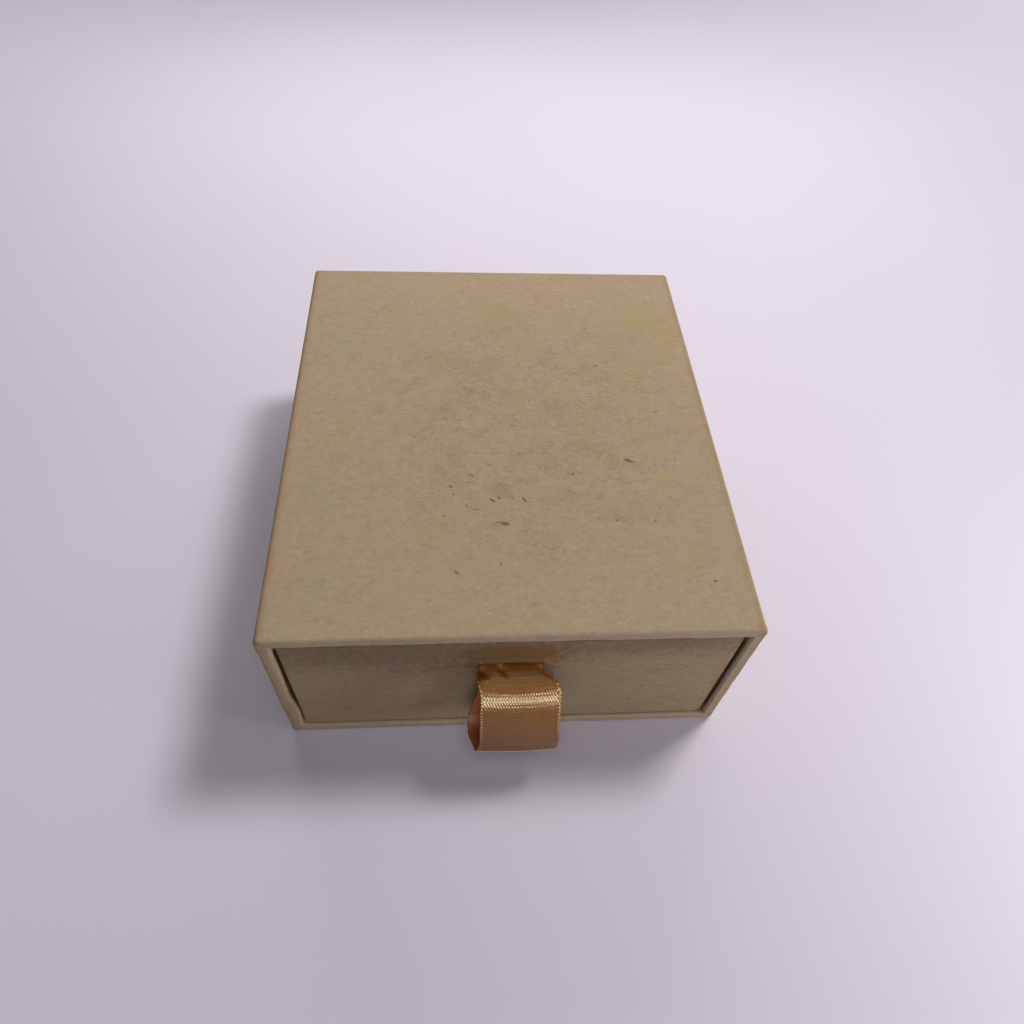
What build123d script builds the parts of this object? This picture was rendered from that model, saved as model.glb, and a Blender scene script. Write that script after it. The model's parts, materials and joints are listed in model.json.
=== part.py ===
from build123d import *
import math
import os

# Sliding drawer gift box: a paper-wrapped greyboard sleeve, closed at the back, and a tray
# drawer with a satin ribbon pull. Millimetres, +Z up, front towards -Y. The origin is the
# middle of the sleeve's underside.

# ---------------------------------------------------------------- driving sizes, mm
# Sleeve
sleeve_w = 90.0             # outside width, X
sleeve_d = 104.0            # outside depth, Y
sleeve_h = 40.0             # outside height, Z
sleeve_board_t = 2.0        # greyboard panels of the sleeve
sleeve_fold_r = 1.0         # four long folds, over the grooves
sleeve_edge_r = 0.6         # cut edges of the panels, at the front rim and the back
sleeve_rim_r = 0.7          # inner edge of the open front rim
sleeve_turn_in = 15.0       # wrap folded inwards behind the front rim
sleeve_lap = 14.0           # wrap folded over the underside and the back
seam_tape_w = 16.0          # tape over the joint that closes the folded sleeve
seam_tape_end = 6.0         # tape stops this far from each end

# Papers
paper_t = 0.25              # wrap, lining and closing sheets
tape_t = 0.12               # gummed tape under the wrap
sheet_gap = 0.15            # joint line between a closing sheet and the laps around it

# Drawer
drawer_board_t = 2.0        # greyboard panels of the drawer
drawer_edge_r = 0.6         # wrapped outer edges
drawer_rim_r = 0.6          # inner edge of the top rim
drawer_turn_in = 20.0       # wrap folded down inside the rim
drawer_lap = 10.0           # wrap folded under the base
corner_tape_w = 18.0        # tape round each upright corner, both legs together
corner_tape_end = 3.0       # corner tape stops this far from the base and the rim

# Running clearances between drawer and sleeve
side_gap = 0.5
floor_gap = 0.2
lid_gap = 0.8
back_gap = 0.5
front_recess = 0.6          # drawer front behind the sleeve's front rim

# Ribbon pull: one strip, both ends through the slot and down the inside of the front
ribbon_w = 15.0
ribbon_t = 0.4
ribbon_shift = 1.2          # middle of the loop to the right of the sleeve's middle
neck_w = 11.4               # width of the gathered ribbon in the slot
neck_shift = -0.5           # middle of the slot
neck_gap = 0.2              # slot edge to ribbon, all round
layer_gap = 0.2             # between the two layers in the slot
slot_drop = 8.1             # drawer rim to the middle of the slot
crest_out = 6.4             # front layer's bend, in front of the drawer face
crest_r = 7.5
fold_out = 10.3             # fold line, in front of the drawer face
fold_drop = 18.5            # fold line below the middle of the slot
fold_r = 0.6
heel_out = 3.2              # back layer's lower bend, in front of the drawer face
heel_drop = 18.3
heel_r = 3.0
back_out = 1.6              # back layer's upper bend, in front of the drawer face
back_r = 0.9
flare_y = 5.4               # the front layer is at full width this far out of the slot
flare_z = 5.5               # the other layers are at full width this far below it
tail_len = 15.0             # glued ends, down from the slot

# Paper patch that holds the ribbon's ends to the inside of the drawer front
patch_w = 26.0
patch_h = 12.0
patch_lift = 1.0            # patch stands this far below the ends' lower edge

# ---------------------------------------------------------------- places worked out
sleeve_wall = sleeve_board_t + 2 * paper_t
drawer_wall = drawer_board_t + 2 * paper_t
sleeve_front = -sleeve_d / 2

drawer_w = sleeve_w - 2 * sleeve_wall - 2 * side_gap
drawer_h = sleeve_h - 2 * sleeve_wall - floor_gap - lid_gap
drawer_d = sleeve_d - sleeve_wall - front_recess - back_gap
drawer_base = sleeve_wall + floor_gap
drawer_top = drawer_base + drawer_h
drawer_front = sleeve_front + front_recess
drawer_inner_front = drawer_front + drawer_wall

slot_z = drawer_top - slot_drop
slot_w = neck_w + 2 * neck_gap
slot_h = 2 * ribbon_t + layer_gap + 2 * neck_gap
layer_z = (ribbon_t + layer_gap) / 2        # each layer's middle above or below the slot's


# ---------------------------------------------------------------- basic shapes
def block(x0, x1, y0, y1, z0, z1):
    """A plain box between two corners."""
    return Pos((x0 + x1) / 2, (y0 + y1) / 2, (z0 + z1) / 2) * Box(x1 - x0, y1 - y0, z1 - z0)


def rounded_block(x0, x1, y0, y1, z0, z1, inset, radius):
    """A box drawn in by inset on every side, with edges that stay parallel to the full one's."""
    body = block(x0 + inset, x1 - inset, y0 + inset, y1 - inset, z0 + inset, z1 - inset)
    return fillet(body.edges(), radius - inset)


def sleeve_block(inset):
    """The sleeve's solid outer form, drawn in by inset: long folds, then both end outlines."""
    x1, y1 = sleeve_w / 2 - inset, sleeve_d / 2 - inset
    body = block(-x1, x1, -y1, y1, inset, sleeve_h - inset)
    body = fillet(body.edges().filter_by(Axis.Y), sleeve_fold_r - inset)
    ends = body.edges().filter_by(lambda edge: abs(abs(edge.center().Y) - y1) < 1e-4)
    return fillet(ends, sleeve_edge_r - inset)


def rim_edges(body, axis, level, x_in, other_axis, low, high):
    """The four edges of an opening's inner outline, on the plane axis = level."""
    def on_rim(edge):
        c = edge.center()
        flat = abs(getattr(c, axis) - level) < 1e-4
        inside = abs(c.X) < x_in + 1e-3 and low - 1e-3 < getattr(c, other_axis) < high + 1e-3
        return flat and inside and edge.geom_type == GeomType.LINE
    return body.edges().filter_by(on_rim)


# ---------------------------------------------------------------- sleeve
def sleeve_shape(inset):
    """Sleeve with its hollow, drawn in by inset inside its own walls: 0 is the wrapped
    surface, paper_t the bare boards."""
    x1, y1 = sleeve_w / 2, sleeve_d / 2
    hx, hy = x1 - sleeve_wall + inset, y1 - sleeve_wall + inset
    z0, z1 = sleeve_wall - inset, sleeve_h - sleeve_wall + inset
    front = sleeve_front + inset
    body = sleeve_block(inset) - block(-hx, hx, front - sleeve_d, hy, z0, z1)
    return fillet(rim_edges(body, "Y", front, hx, "Z", z0, z1), sleeve_rim_r - inset)


def sleeve_boards():
    """Four panels mitred along the grooves, and a back panel inside their rear end."""
    boards = sleeve_shape(paper_t)
    xo, zo = sleeve_w / 2, sleeve_h / 2
    xi, zi = xo - paper_t - sleeve_board_t, zo - paper_t - sleeve_board_t
    cut = sleeve_w - xi                     # mitre lines run on past the outer corners
    sides = {
        "top": [(-xi, zi), (xi, zi), (xi + cut, zi + cut), (-xi - cut, zi + cut)],
        "bottom": [(-xi, -zi), (xi, -zi), (xi + cut, -zi - cut), (-xi - cut, -zi - cut)],
        "left": [(-xi, -zi), (-xi, zi), (-xi - cut, zi + cut), (-xi - cut, -zi - cut)],
        "right": [(xi, -zi), (xi, zi), (xi + cut, zi + cut), (xi + cut, -zi - cut)],
    }
    made = {}
    for name, corners in sides.items():
        face = make_face(Polyline(*corners, close=True).edges())
        wedge = extrude(Plane.XZ.offset(-sleeve_d) * Pos(0, sleeve_h / 2) * face, 2 * sleeve_d)
        made[f"sleeve_{name}_board"] = boards & wedge
    back_y = sleeve_d / 2 - paper_t
    made["sleeve_back_board"] = block(-xi, xi, back_y - sleeve_board_t, back_y,
                                      sleeve_h / 2 - zi, sleeve_h / 2 + zi)
    return made


def sleeve_seam_tape():
    """Tape round the bottom left edge, under the wrap."""
    x1, y1 = sleeve_w / 2, sleeve_d / 2
    leg = seam_tape_w / 2
    skin = sleeve_block(paper_t - tape_t) - sleeve_block(paper_t)
    return skin & block(-x1, -x1 + leg, -y1 + seam_tape_end, y1 - seam_tape_end, 0, leg)


def sleeve_papers(tape):
    """Wrap with its turn-in and laps, lining behind the turn-in, and the two closing sheets."""
    paper = sleeve_shape(0) - sleeve_shape(paper_t) - tape
    x1, y1 = sleeve_w / 2, sleeve_d / 2
    mid = paper_t + sleeve_board_t / 2      # a surface inside the boards parts outer from inner
    behind = sleeve_front + sleeve_turn_in
    inner = block(-x1 + mid, x1 - mid, behind, y1 - mid, mid, sleeve_h - mid)
    under = block(-x1 + sleeve_lap, x1 - sleeve_lap, -y1 + sleeve_lap, y1 - sleeve_lap, -1, mid)
    rear = block(-x1 + sleeve_lap, x1 - sleeve_lap, y1 - mid, y1 + 1,
                 sleeve_lap, sleeve_h - sleeve_lap)
    wrap = paper - inner - under - rear
    return {"sleeve_wrap": wrap, "sleeve_lining": paper & inner,
            "sleeve_base_paper": closing_sheet(paper & under, "Z"),
            "sleeve_back_paper": closing_sheet(paper & rear, "Y")}


def closing_sheet(sheet, axis):
    """Trim a closing sheet all round, so that its joint line with the laps is open."""
    box = sheet.bounding_box()
    size = {"X": box.size.X, "Y": box.size.Y, "Z": box.size.Z}
    trimmed = {a: s + (2 if a == axis else -2 * sheet_gap) for a, s in size.items()}
    c = box.center()
    return sheet & (Pos(c.X, c.Y, c.Z) * Box(trimmed["X"], trimmed["Y"], trimmed["Z"]))


# ---------------------------------------------------------------- drawer
def drawer_block(inset):
    """The drawer's solid outer form, drawn in by inset."""
    x1 = drawer_w / 2
    return rounded_block(-x1, x1, drawer_front, drawer_front + drawer_d,
                         drawer_base, drawer_top, inset, drawer_edge_r)


def drawer_shape(inset):
    """Drawer with its hollow and its ribbon slot: inset 0 is the wrapped surface, paper_t
    the bare boards."""
    hx = drawer_w / 2 - drawer_wall + inset
    y0 = drawer_inner_front - inset
    y1 = drawer_front + drawer_d - drawer_wall + inset
    top = drawer_top - inset
    body = drawer_block(inset)
    body -= block(-hx, hx, y0, y1, drawer_base + drawer_wall - inset, top + drawer_h)
    body = fillet(rim_edges(body, "Z", top, hx, "Y", y0, y1), drawer_rim_r - inset)
    slot = block(neck_shift - slot_w / 2, neck_shift + slot_w / 2, drawer_front - 1,
                 drawer_inner_front + 1, slot_z - slot_h / 2, slot_z + slot_h / 2)
    return body - slot


def drawer_boards():
    """Base between the four walls, front and back over the ends of the sides."""
    boards = drawer_shape(paper_t)
    wall = paper_t + drawer_board_t
    x1, y0, y1 = drawer_w / 2, drawer_front, drawer_front + drawer_d
    z0, z1 = drawer_base, drawer_top
    xi, yi0, yi1 = x1 - wall, y0 + wall, y1 - wall
    places = {
        "front": block(-x1, x1, y0, yi0, z0, z1),
        "back": block(-x1, x1, yi1, y1, z0, z1),
        "left": block(-x1, -xi, yi0, yi1, z0, z1),
        "right": block(xi, x1, yi0, yi1, z0, z1),
        "base": block(-xi, xi, yi0, yi1, z0, z0 + wall),
    }
    return {f"drawer_{name}_board": boards & place for name, place in places.items()}


def drawer_corner_tapes():
    """Tape round each upright corner, under the wrap."""
    leg = corner_tape_w / 2
    skin = drawer_block(paper_t - tape_t) - drawer_block(paper_t)
    made = {}
    for y_name, y, inward in (("front", drawer_front, 1), ("back", drawer_front + drawer_d, -1)):
        for x_name, side in (("left", -1), ("right", 1)):
            x = side * drawer_w / 2
            place = block(min(x, x - side * leg), max(x, x - side * leg),
                          min(y, y + inward * leg), max(y, y + inward * leg),
                          drawer_base + corner_tape_end, drawer_top - corner_tape_end)
            made[f"drawer_{y_name}_{x_name}_tape"] = skin & place
    return made


def drawer_papers(tapes):
    """Wrap over the rim with its turn-in and laps, tray lining, and the sheet underneath."""
    paper = drawer_shape(0) - drawer_shape(paper_t)
    for tape in tapes:
        paper -= tape
    mid = paper_t + drawer_board_t / 2
    x1, y0, y1 = drawer_w / 2, drawer_front, drawer_front + drawer_d
    inner = block(-x1 + mid, x1 - mid, y0 + mid, y1 - mid,
                  drawer_base + mid, drawer_top - drawer_turn_in)
    under = block(-x1 + drawer_lap, x1 - drawer_lap, y0 + drawer_lap, y1 - drawer_lap,
                  drawer_base - 1, drawer_base + mid)
    return {"drawer_wrap": paper - inner - under, "drawer_lining": paper & inner,
            "drawer_base_paper": closing_sheet(paper & under, "Z")}


# ---------------------------------------------------------------- ribbon pull
def offset_path(points, radii, s):
    """Corner points and bend radii of the path that runs s to the left of the given one."""
    along = []
    for (ay, az), (by, bz) in zip(points, points[1:]):
        length = math.hypot(by - ay, bz - az)
        along.append(((by - ay) / length, (bz - az) / length))
    left = [(-dz, dy) for dy, dz in along]
    moved = [(points[0][0] + s * left[0][0], points[0][1] + s * left[0][1])]
    bends = []
    for i, radius in enumerate(radii):
        (ay, az), (by, bz) = left[i], left[i + 1]
        k = s / (1 + ay * by + az * bz)
        moved.append((points[i + 1][0] + k * (ay + by), points[i + 1][1] + k * (az + bz)))
        turn = along[i][0] * along[i + 1][1] - along[i][1] * along[i + 1][0]
        bends.append(radius - s * math.copysign(1, turn))
    moved.append((points[-1][0] + s * left[-1][0], points[-1][1] + s * left[-1][1]))
    return moved, bends


def strip_section(points, radii, thickness):
    """Side view of a strip of even thickness along a path of straight runs and arcs."""
    one, one_r = offset_path(points, radii, thickness / 2)
    two, two_r = offset_path(points, radii, -thickness / 2)
    outline = FilletPolyline(*one, radius=one_r).edges() + FilletPolyline(*two, radius=two_r).edges()
    outline += Line(one[0], two[0]).edges() + Line(one[-1], two[-1]).edges()
    return make_face(outline)


def ribbon_route():
    """(y, z) corners and bend radii, from one glued end, round the loop, to the other."""
    face, inner = drawer_front, drawer_inner_front
    near = inner + layer_gap / 2 + ribbon_t / 2         # end that lies against the lining
    far = near + ribbon_t + layer_gap                   # end that lies over it
    upper, lower = slot_z + layer_z, slot_z - layer_z
    end = slot_z - tail_len
    points = [(far, end), (far, upper), (face - crest_out, upper),
              (face - fold_out, slot_z - fold_drop), (face - heel_out, slot_z - heel_drop),
              (face - back_out, lower), (near, lower), (near, end)]
    hug = ribbon_t / 2 + neck_gap                       # bend round the slot's inner edge
    pitch = ribbon_t + layer_gap
    return points, [hug + pitch, crest_r, fold_r, heel_r, back_r, hug]


def flare_cuts():
    """What the gathered ribbon leaves out at both sides, near the slot."""
    y_far = drawer_inner_front + 4 * (ribbon_t + layer_gap)
    reach = ribbon_w
    top = slot_z + slot_h + crest_r
    bend = drawer_front - crest_out
    side_view = [(y_far, slot_z), (drawer_front, slot_z), (bend, slot_z - crest_r),
                 (bend, top), (y_far, top)]             # the front layer's share
    face = make_face(Polyline(*side_view, close=True).edges())
    above = extrude(Plane.YZ.offset(-sleeve_w) * face, 2 * sleeve_w)
    cuts = []
    for side in (-1, 1):
        neck = neck_shift + side * neck_w / 2
        full = ribbon_shift + side * ribbon_w / 2
        out = full + side * reach
        plan = [(neck, y_far), (neck, drawer_front), (full, drawer_front - flare_y),
                (out, drawer_front - flare_y), (out, y_far)]
        face = make_face(Polyline(*plan, close=True).edges())
        prism = extrude(Pos(0, 0, slot_z - crest_r) * face, 2 * crest_r + slot_h)
        cuts.append(prism & above)
        front = [(neck, slot_z), (neck, slot_z - slot_h / 2), (full, slot_z - flare_z),
                 (out, slot_z - flare_z), (out, slot_z)]
        face = make_face(Polyline(*front, close=True).edges())
        deep = y_far - (drawer_front - heel_out - ribbon_t)
        cuts.append(extrude(Plane.XZ.offset(-y_far) * face, deep))
    return cuts


def pull_ribbon():
    """The whole ribbon: loop outside, two layers in the slot, two ends inside."""
    points, radii = ribbon_route()
    section = strip_section(points, radii, ribbon_t)
    strip = extrude(Plane.YZ.offset(ribbon_shift - ribbon_w / 2) * section, ribbon_w)
    for cut in flare_cuts():
        strip -= cut
    return strip


def anchor_patch():
    """Paper hat section over the ribbon's ends, with a wing glued down on each side."""
    z0 = slot_z - tail_len - patch_lift
    z1 = z0 + patch_h
    stack = layer_gap / 2 + 2 * ribbon_t + layer_gap + neck_gap
    half = ribbon_w / 2 + neck_gap
    y0 = drawer_inner_front
    x0, x1 = ribbon_shift - patch_w / 2, ribbon_shift + patch_w / 2
    hat = block(x0, x1, y0, y0 + paper_t, z0, z1)
    hat += block(ribbon_shift - half - paper_t, ribbon_shift + half + paper_t,
                 y0, y0 + stack + paper_t, z0, z1)
    return hat - block(ribbon_shift - half, ribbon_shift + half, y0 - 1, y0 + stack,
                       z0 - 1, z1 + 1)


# ---------------------------------------------------------------- all pieces
def build():
    nodes = sleeve_boards()
    nodes["sleeve_seam_tape"] = sleeve_seam_tape()
    nodes.update(sleeve_papers(nodes["sleeve_seam_tape"]))
    nodes.update(drawer_boards())
    tapes = drawer_corner_tapes()
    nodes.update(tapes)
    nodes.update(drawer_papers(tapes.values()))
    nodes["pull_ribbon"] = pull_ribbon()
    nodes["ribbon_anchor_patch"] = anchor_patch()
    return nodes


def one_solid(shape):
    """The solid itself, where a cut has wrapped it in a compound."""
    solids = shape.solids()
    return solids[0] if len(solids) == 1 else Compound(children=list(solids))


os.makedirs("parts", exist_ok=True)
for node_name, node_shape in build().items():
    export_step(one_solid(node_shape), f"parts/{node_name}.step")
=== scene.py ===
"""Sliding drawer gift box: a paper-wrapped board sleeve, a tray drawer and a satin ribbon pull.

The box lies flat with its open front towards -Y. Sizes in the dataclasses are millimetres and
become metres where a mesh is made. The shapes that show are the paper wraps, the ribbon and its
patch; the boards, tapes, linings and closing sheets keep the solids of the loaded model.
"""

from __future__ import annotations

import json
import logging
import math
from dataclasses import dataclass
from enum import Enum

import bpy
import numpy as np
from mathutils import Matrix, Vector

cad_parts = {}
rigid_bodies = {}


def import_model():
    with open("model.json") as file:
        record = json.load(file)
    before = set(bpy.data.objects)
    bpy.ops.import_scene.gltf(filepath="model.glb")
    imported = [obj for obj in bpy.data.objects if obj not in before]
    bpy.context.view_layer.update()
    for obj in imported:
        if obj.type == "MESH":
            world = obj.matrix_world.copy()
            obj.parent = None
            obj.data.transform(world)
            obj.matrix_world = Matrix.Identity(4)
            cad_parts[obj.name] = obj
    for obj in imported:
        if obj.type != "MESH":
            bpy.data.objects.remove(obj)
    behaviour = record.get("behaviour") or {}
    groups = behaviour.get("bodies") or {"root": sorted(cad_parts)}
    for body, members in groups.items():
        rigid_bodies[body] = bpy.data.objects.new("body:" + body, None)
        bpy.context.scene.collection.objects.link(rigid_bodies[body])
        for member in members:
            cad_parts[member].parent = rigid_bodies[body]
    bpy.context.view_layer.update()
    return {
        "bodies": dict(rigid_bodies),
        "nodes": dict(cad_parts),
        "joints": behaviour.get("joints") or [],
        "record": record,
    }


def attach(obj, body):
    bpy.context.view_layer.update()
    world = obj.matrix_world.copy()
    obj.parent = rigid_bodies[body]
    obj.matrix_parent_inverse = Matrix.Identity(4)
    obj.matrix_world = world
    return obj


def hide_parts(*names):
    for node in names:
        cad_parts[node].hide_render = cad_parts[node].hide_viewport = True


MM = 0.001
SHORTEST = 1e-9         # keeps a division by a length of 0 away
FAR_OFF = 1e3           # mm, a distance at which nothing reaches a point
log = logging.getLogger("gift_box")
Socket = bpy.types.NodeSocket
Colour = tuple[float, float, float]
Place = tuple[float, float, float]


class Body(str, Enum):
    """The two bodies that the drawer's slide joins."""

    SLEEVE = "sleeve"
    DRAWER = "drawer"


class Slot(str, Enum):
    """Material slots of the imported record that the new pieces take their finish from."""

    KRAFT_WRAP = "kraft_wrap"
    SATIN_RIBBON = "satin_ribbon"
    PATCH_PAPER = "patch_paper"


def from_srgb(red: float, green: float, blue: float) -> Colour:
    """Turns a colour as seen on a screen into the linear values that a shader takes.

    Args:
        red: Red from 0 to 255.
        green: Green from 0 to 255.
        blue: Blue from 0 to 255.

    Returns:
        The linear colour, each channel from 0 to 1.
    """
    parts = (c / 255.0 for c in (red, green, blue))
    return tuple(c / 12.92 if c <= 0.04045 else ((c + 0.055) / 1.055) ** 2.4 for c in parts)


# --------------------------------------------------------------------------- shapes as arrays
class Unevenness:
    """Repeatable smooth unevenness: the mean of sine waves that run in random directions."""

    WAVES = 10
    SPREAD = (0.6, 1.7)     # shortest and longest wave, as parts of the typical one
    PEAK = 1.6              # brings the heights to about -1 to 1

    def __init__(self, wavelength: float, seed: int) -> None:
        """Draws the waves.

        Args:
            wavelength: Typical distance between crests, in mm.
            seed: Seed of the random directions, lengths and phases.
        """
        rng = np.random.default_rng(seed)
        ways = rng.normal(size=(self.WAVES, 3))
        ways /= np.linalg.norm(ways, axis=1, keepdims=True)
        lengths = wavelength * rng.uniform(*self.SPREAD, self.WAVES)
        self.waves = ways * (2 * np.pi / lengths)[:, None]
        self.phases = rng.uniform(0, 2 * np.pi, self.WAVES)

    def at(self, points: np.ndarray) -> np.ndarray:
        """Height at each point: sqrt(2 / n) times the sum of sin(wave . point + phase), scaled.

        Args:
            points: Array whose last axis is x, y, z in mm.

        Returns:
            Heights of about -1 to 1, one for each point.
        """
        angles = points @ self.waves.T + self.phases
        return np.sin(angles).sum(axis=-1) * math.sqrt(2.0 / self.WAVES) / self.PEAK


def hill(distance: np.ndarray, width: float) -> np.ndarray:
    """A bell of height 1: exp(-(distance / width) squared)."""
    return np.exp(-((distance / width) ** 2))


def ease(value: np.ndarray, low: float, high: float) -> np.ndarray:
    """Smooth step: 0 below low, 1 above high and 3t^2 - 2t^3 between them."""
    t = np.clip((value - low) / (high - low), 0.0, 1.0)
    return t * t * (3.0 - 2.0 * t)


def steps(start: float, stop: float, pitch: float) -> np.ndarray:
    """Evenly spaced values from start to stop, at most pitch apart, ends included."""
    count = max(1, int(math.ceil(abs(stop - start) / pitch)))
    return np.linspace(start, stop, count + 1)


def normals_of(points: np.ndarray) -> np.ndarray:
    """Unit normals of a closed grid: the cross product of its row and column directions.

    Args:
        points: Grid of shape (rows, columns, 3) whose last column meets its first.

    Returns:
        One unit normal for each point, on the side that grid_quads faces.
    """
    down = np.gradient(points, axis=0)
    across = (np.roll(points, -1, axis=1) - np.roll(points, 1, axis=1)) / 2
    normal = np.cross(down, across)
    return normal / np.maximum(np.linalg.norm(normal, axis=2, keepdims=True), SHORTEST)


def grid_quads(rows: int, columns: int, closed: bool) -> np.ndarray:
    """Corner numbers of a grid's quads, each turned row first, then column.

    Args:
        rows: Number of rows of points.
        columns: Number of columns of points.
        closed: Whether the last column is joined to the first.

    Returns:
        Array of shape (quads, 4).
    """
    row = np.arange(rows - 1)[:, None]
    column = np.arange(columns if closed else columns - 1)[None, :]
    beside = (column + 1) % columns
    a, b = row * columns + column, (row + 1) * columns + column
    c, d = (row + 1) * columns + beside, row * columns + beside
    return np.stack([a, b, c, d], axis=-1).reshape(-1, 4)


def quad_centres(points: np.ndarray) -> np.ndarray:
    """Middles of a closed grid's quads, in the order of grid_quads."""
    rows, columns = points.shape[:2]
    return points.reshape(-1, 3)[grid_quads(rows, columns, closed=True)].mean(axis=1)


def merged(*runs: np.ndarray) -> np.ndarray:
    """Rising places of several runs of points, each place once."""
    return np.unique(np.round(np.concatenate(runs), 4))


def make_piece(
    name: str,
    points: np.ndarray,
    material: bpy.types.Material,
    closed: bool = False,
    drop: np.ndarray | None = None,
    flat_map: np.ndarray | None = None,
    thickness: float = 0.0,
    side: float = -1.0,
    back: bpy.types.Material | None = None,
) -> bpy.types.Object:
    """Makes a sheet from a grid of points and gives it its thickness.

    Args:
        name: The piece's name.
        points: Grid of shape (rows, columns, 3) in mm.
        material: The finish.
        closed: Whether the last column is joined to the first.
        drop: One flag for each quad that is left out, as for a hole.
        flat_map: Grid of shape (rows, columns, 2) that becomes the UV map, in mm.
        thickness: Sheet thickness in mm; 0 leaves a single surface.
        side: Where the thickness goes: -1 inwards, 0 both ways, 1 outwards.
        back: The finish of the sheet's other side, if it differs.

    Returns:
        The object, at the origin.
    """
    rows, columns = points.shape[:2]
    quads = grid_quads(rows, columns, closed)
    if drop is not None:
        quads = quads[~drop]
    used, renumbered = np.unique(quads, return_inverse=True)
    places = points.reshape(-1, 3)[used] * MM
    mesh = bpy.data.meshes.new(name)
    mesh.vertices.add(len(places))
    mesh.vertices.foreach_set("co", places.ravel())
    mesh.loops.add(quads.size)
    mesh.loops.foreach_set("vertex_index", renumbered.ravel().astype(np.int32))
    mesh.polygons.add(len(quads))
    mesh.polygons.foreach_set("loop_start", np.arange(len(quads), dtype=np.int32) * 4)
    mesh.polygons.foreach_set("use_smooth", np.ones(len(quads), dtype=bool))
    if flat_map is not None:
        layer = mesh.uv_layers.new(name="cloth")
        layer.data.foreach_set("uv", flat_map.reshape(-1, 2)[quads.ravel()].ravel())
    mesh.update(calc_edges=True)
    mesh.validate()
    mesh.materials.append(material)
    piece = bpy.data.objects.new(name, mesh)
    bpy.context.scene.collection.objects.link(piece)
    if thickness:
        solid = piece.modifiers.new("sheet_thickness", "SOLIDIFY")
        solid.thickness = thickness * MM
        solid.offset = side
        if back is not None:
            mesh.materials.append(back)
            solid.material_offset = 1
    return piece


@dataclass(frozen=True)
class RingColumns:
    """Columns of points round a rectangle with rounded corners.

    A column's place is turn * (half side - corner radius) + along + bend * corner radius on each
    axis, so that one set of columns serves rectangles of every size, and the corners stay in line.
    """

    turn: np.ndarray
    along: np.ndarray
    bend: np.ndarray

    @staticmethod
    def around(
        x_stops: np.ndarray, v_stops: np.ndarray, near_corner: np.ndarray, arc_steps: int
    ) -> "RingColumns":
        """Lays columns counter-clockwise, from the corner that is low in x and in v.

        Args:
            x_stops: Places of the columns on the two sides that run along x.
            v_stops: Places of the columns on the two sides that run along v.
            near_corner: Distances of further columns from each corner's arc.
            arc_steps: Number of steps round each corner.

        Returns:
            The columns.
        """
        turn, along, bend = [], [], []
        sides = ((1, 0, x_stops), (0, 1, v_stops), (-1, 0, x_stops), (0, -1, v_stops))
        for number, (way_x, way_v, stops) in enumerate(sides):
            start = math.pi + number * math.pi / 2
            corner = np.array([way_v - way_x, -way_x - way_v], float)
            angles = np.linspace(start, start + math.pi / 2, arc_steps + 1)
            bend.append(np.stack([np.cos(angles), np.sin(angles)], axis=1))
            turn.append(np.tile(corner, (arc_steps + 1, 1)))
            along.append(np.zeros((arc_steps + 1, 2)))
            way, out = np.array([way_x, way_v], float), np.array([way_v, -way_x], float)
            stops = np.sort(stops) if way_x + way_v > 0 else np.sort(stops)[::-1]
            near, far = np.sort(near_corner), np.sort(near_corner)[::-1]
            turn.append(np.tile(out - way, (len(near), 1)))
            along.append(near[:, None] * way)
            turn.append(np.tile(out, (len(stops), 1)))
            along.append(stops[:, None] * np.abs(way))
            turn.append(np.tile(out + way, (len(far), 1)))
            along.append(-far[:, None] * way)
            bend.append(np.tile(out, (len(near) + len(stops) + len(far), 1)))
        return RingColumns(np.concatenate(turn), np.concatenate(along), np.concatenate(bend))

    def place(self, half: np.ndarray, radius: np.ndarray, lap: np.ndarray) -> np.ndarray:
        """Places every column on every row's rectangle.

        On a lap the straight part shrinks towards the middle, as paper that is cut to a mitre
        does; elsewhere the columns keep their distance from the corners.

        Args:
            half: Half sizes of each row's rectangle, shape (rows, 2).
            radius: Corner radius of each row.
            lap: Flag for each row that lies on a lap; the laps are the last rows.

        Returns:
            Grid of shape (rows, columns, 2).
        """
        straight = half - radius[:, None]
        base = np.where(lap[:, None], straight[~lap][-1], straight)
        scale = straight / base
        line = self.turn[None] * base[:, None, :] + self.along[None]
        return line * scale[:, None, :] + self.bend[None] * radius[:, None, None]


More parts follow.
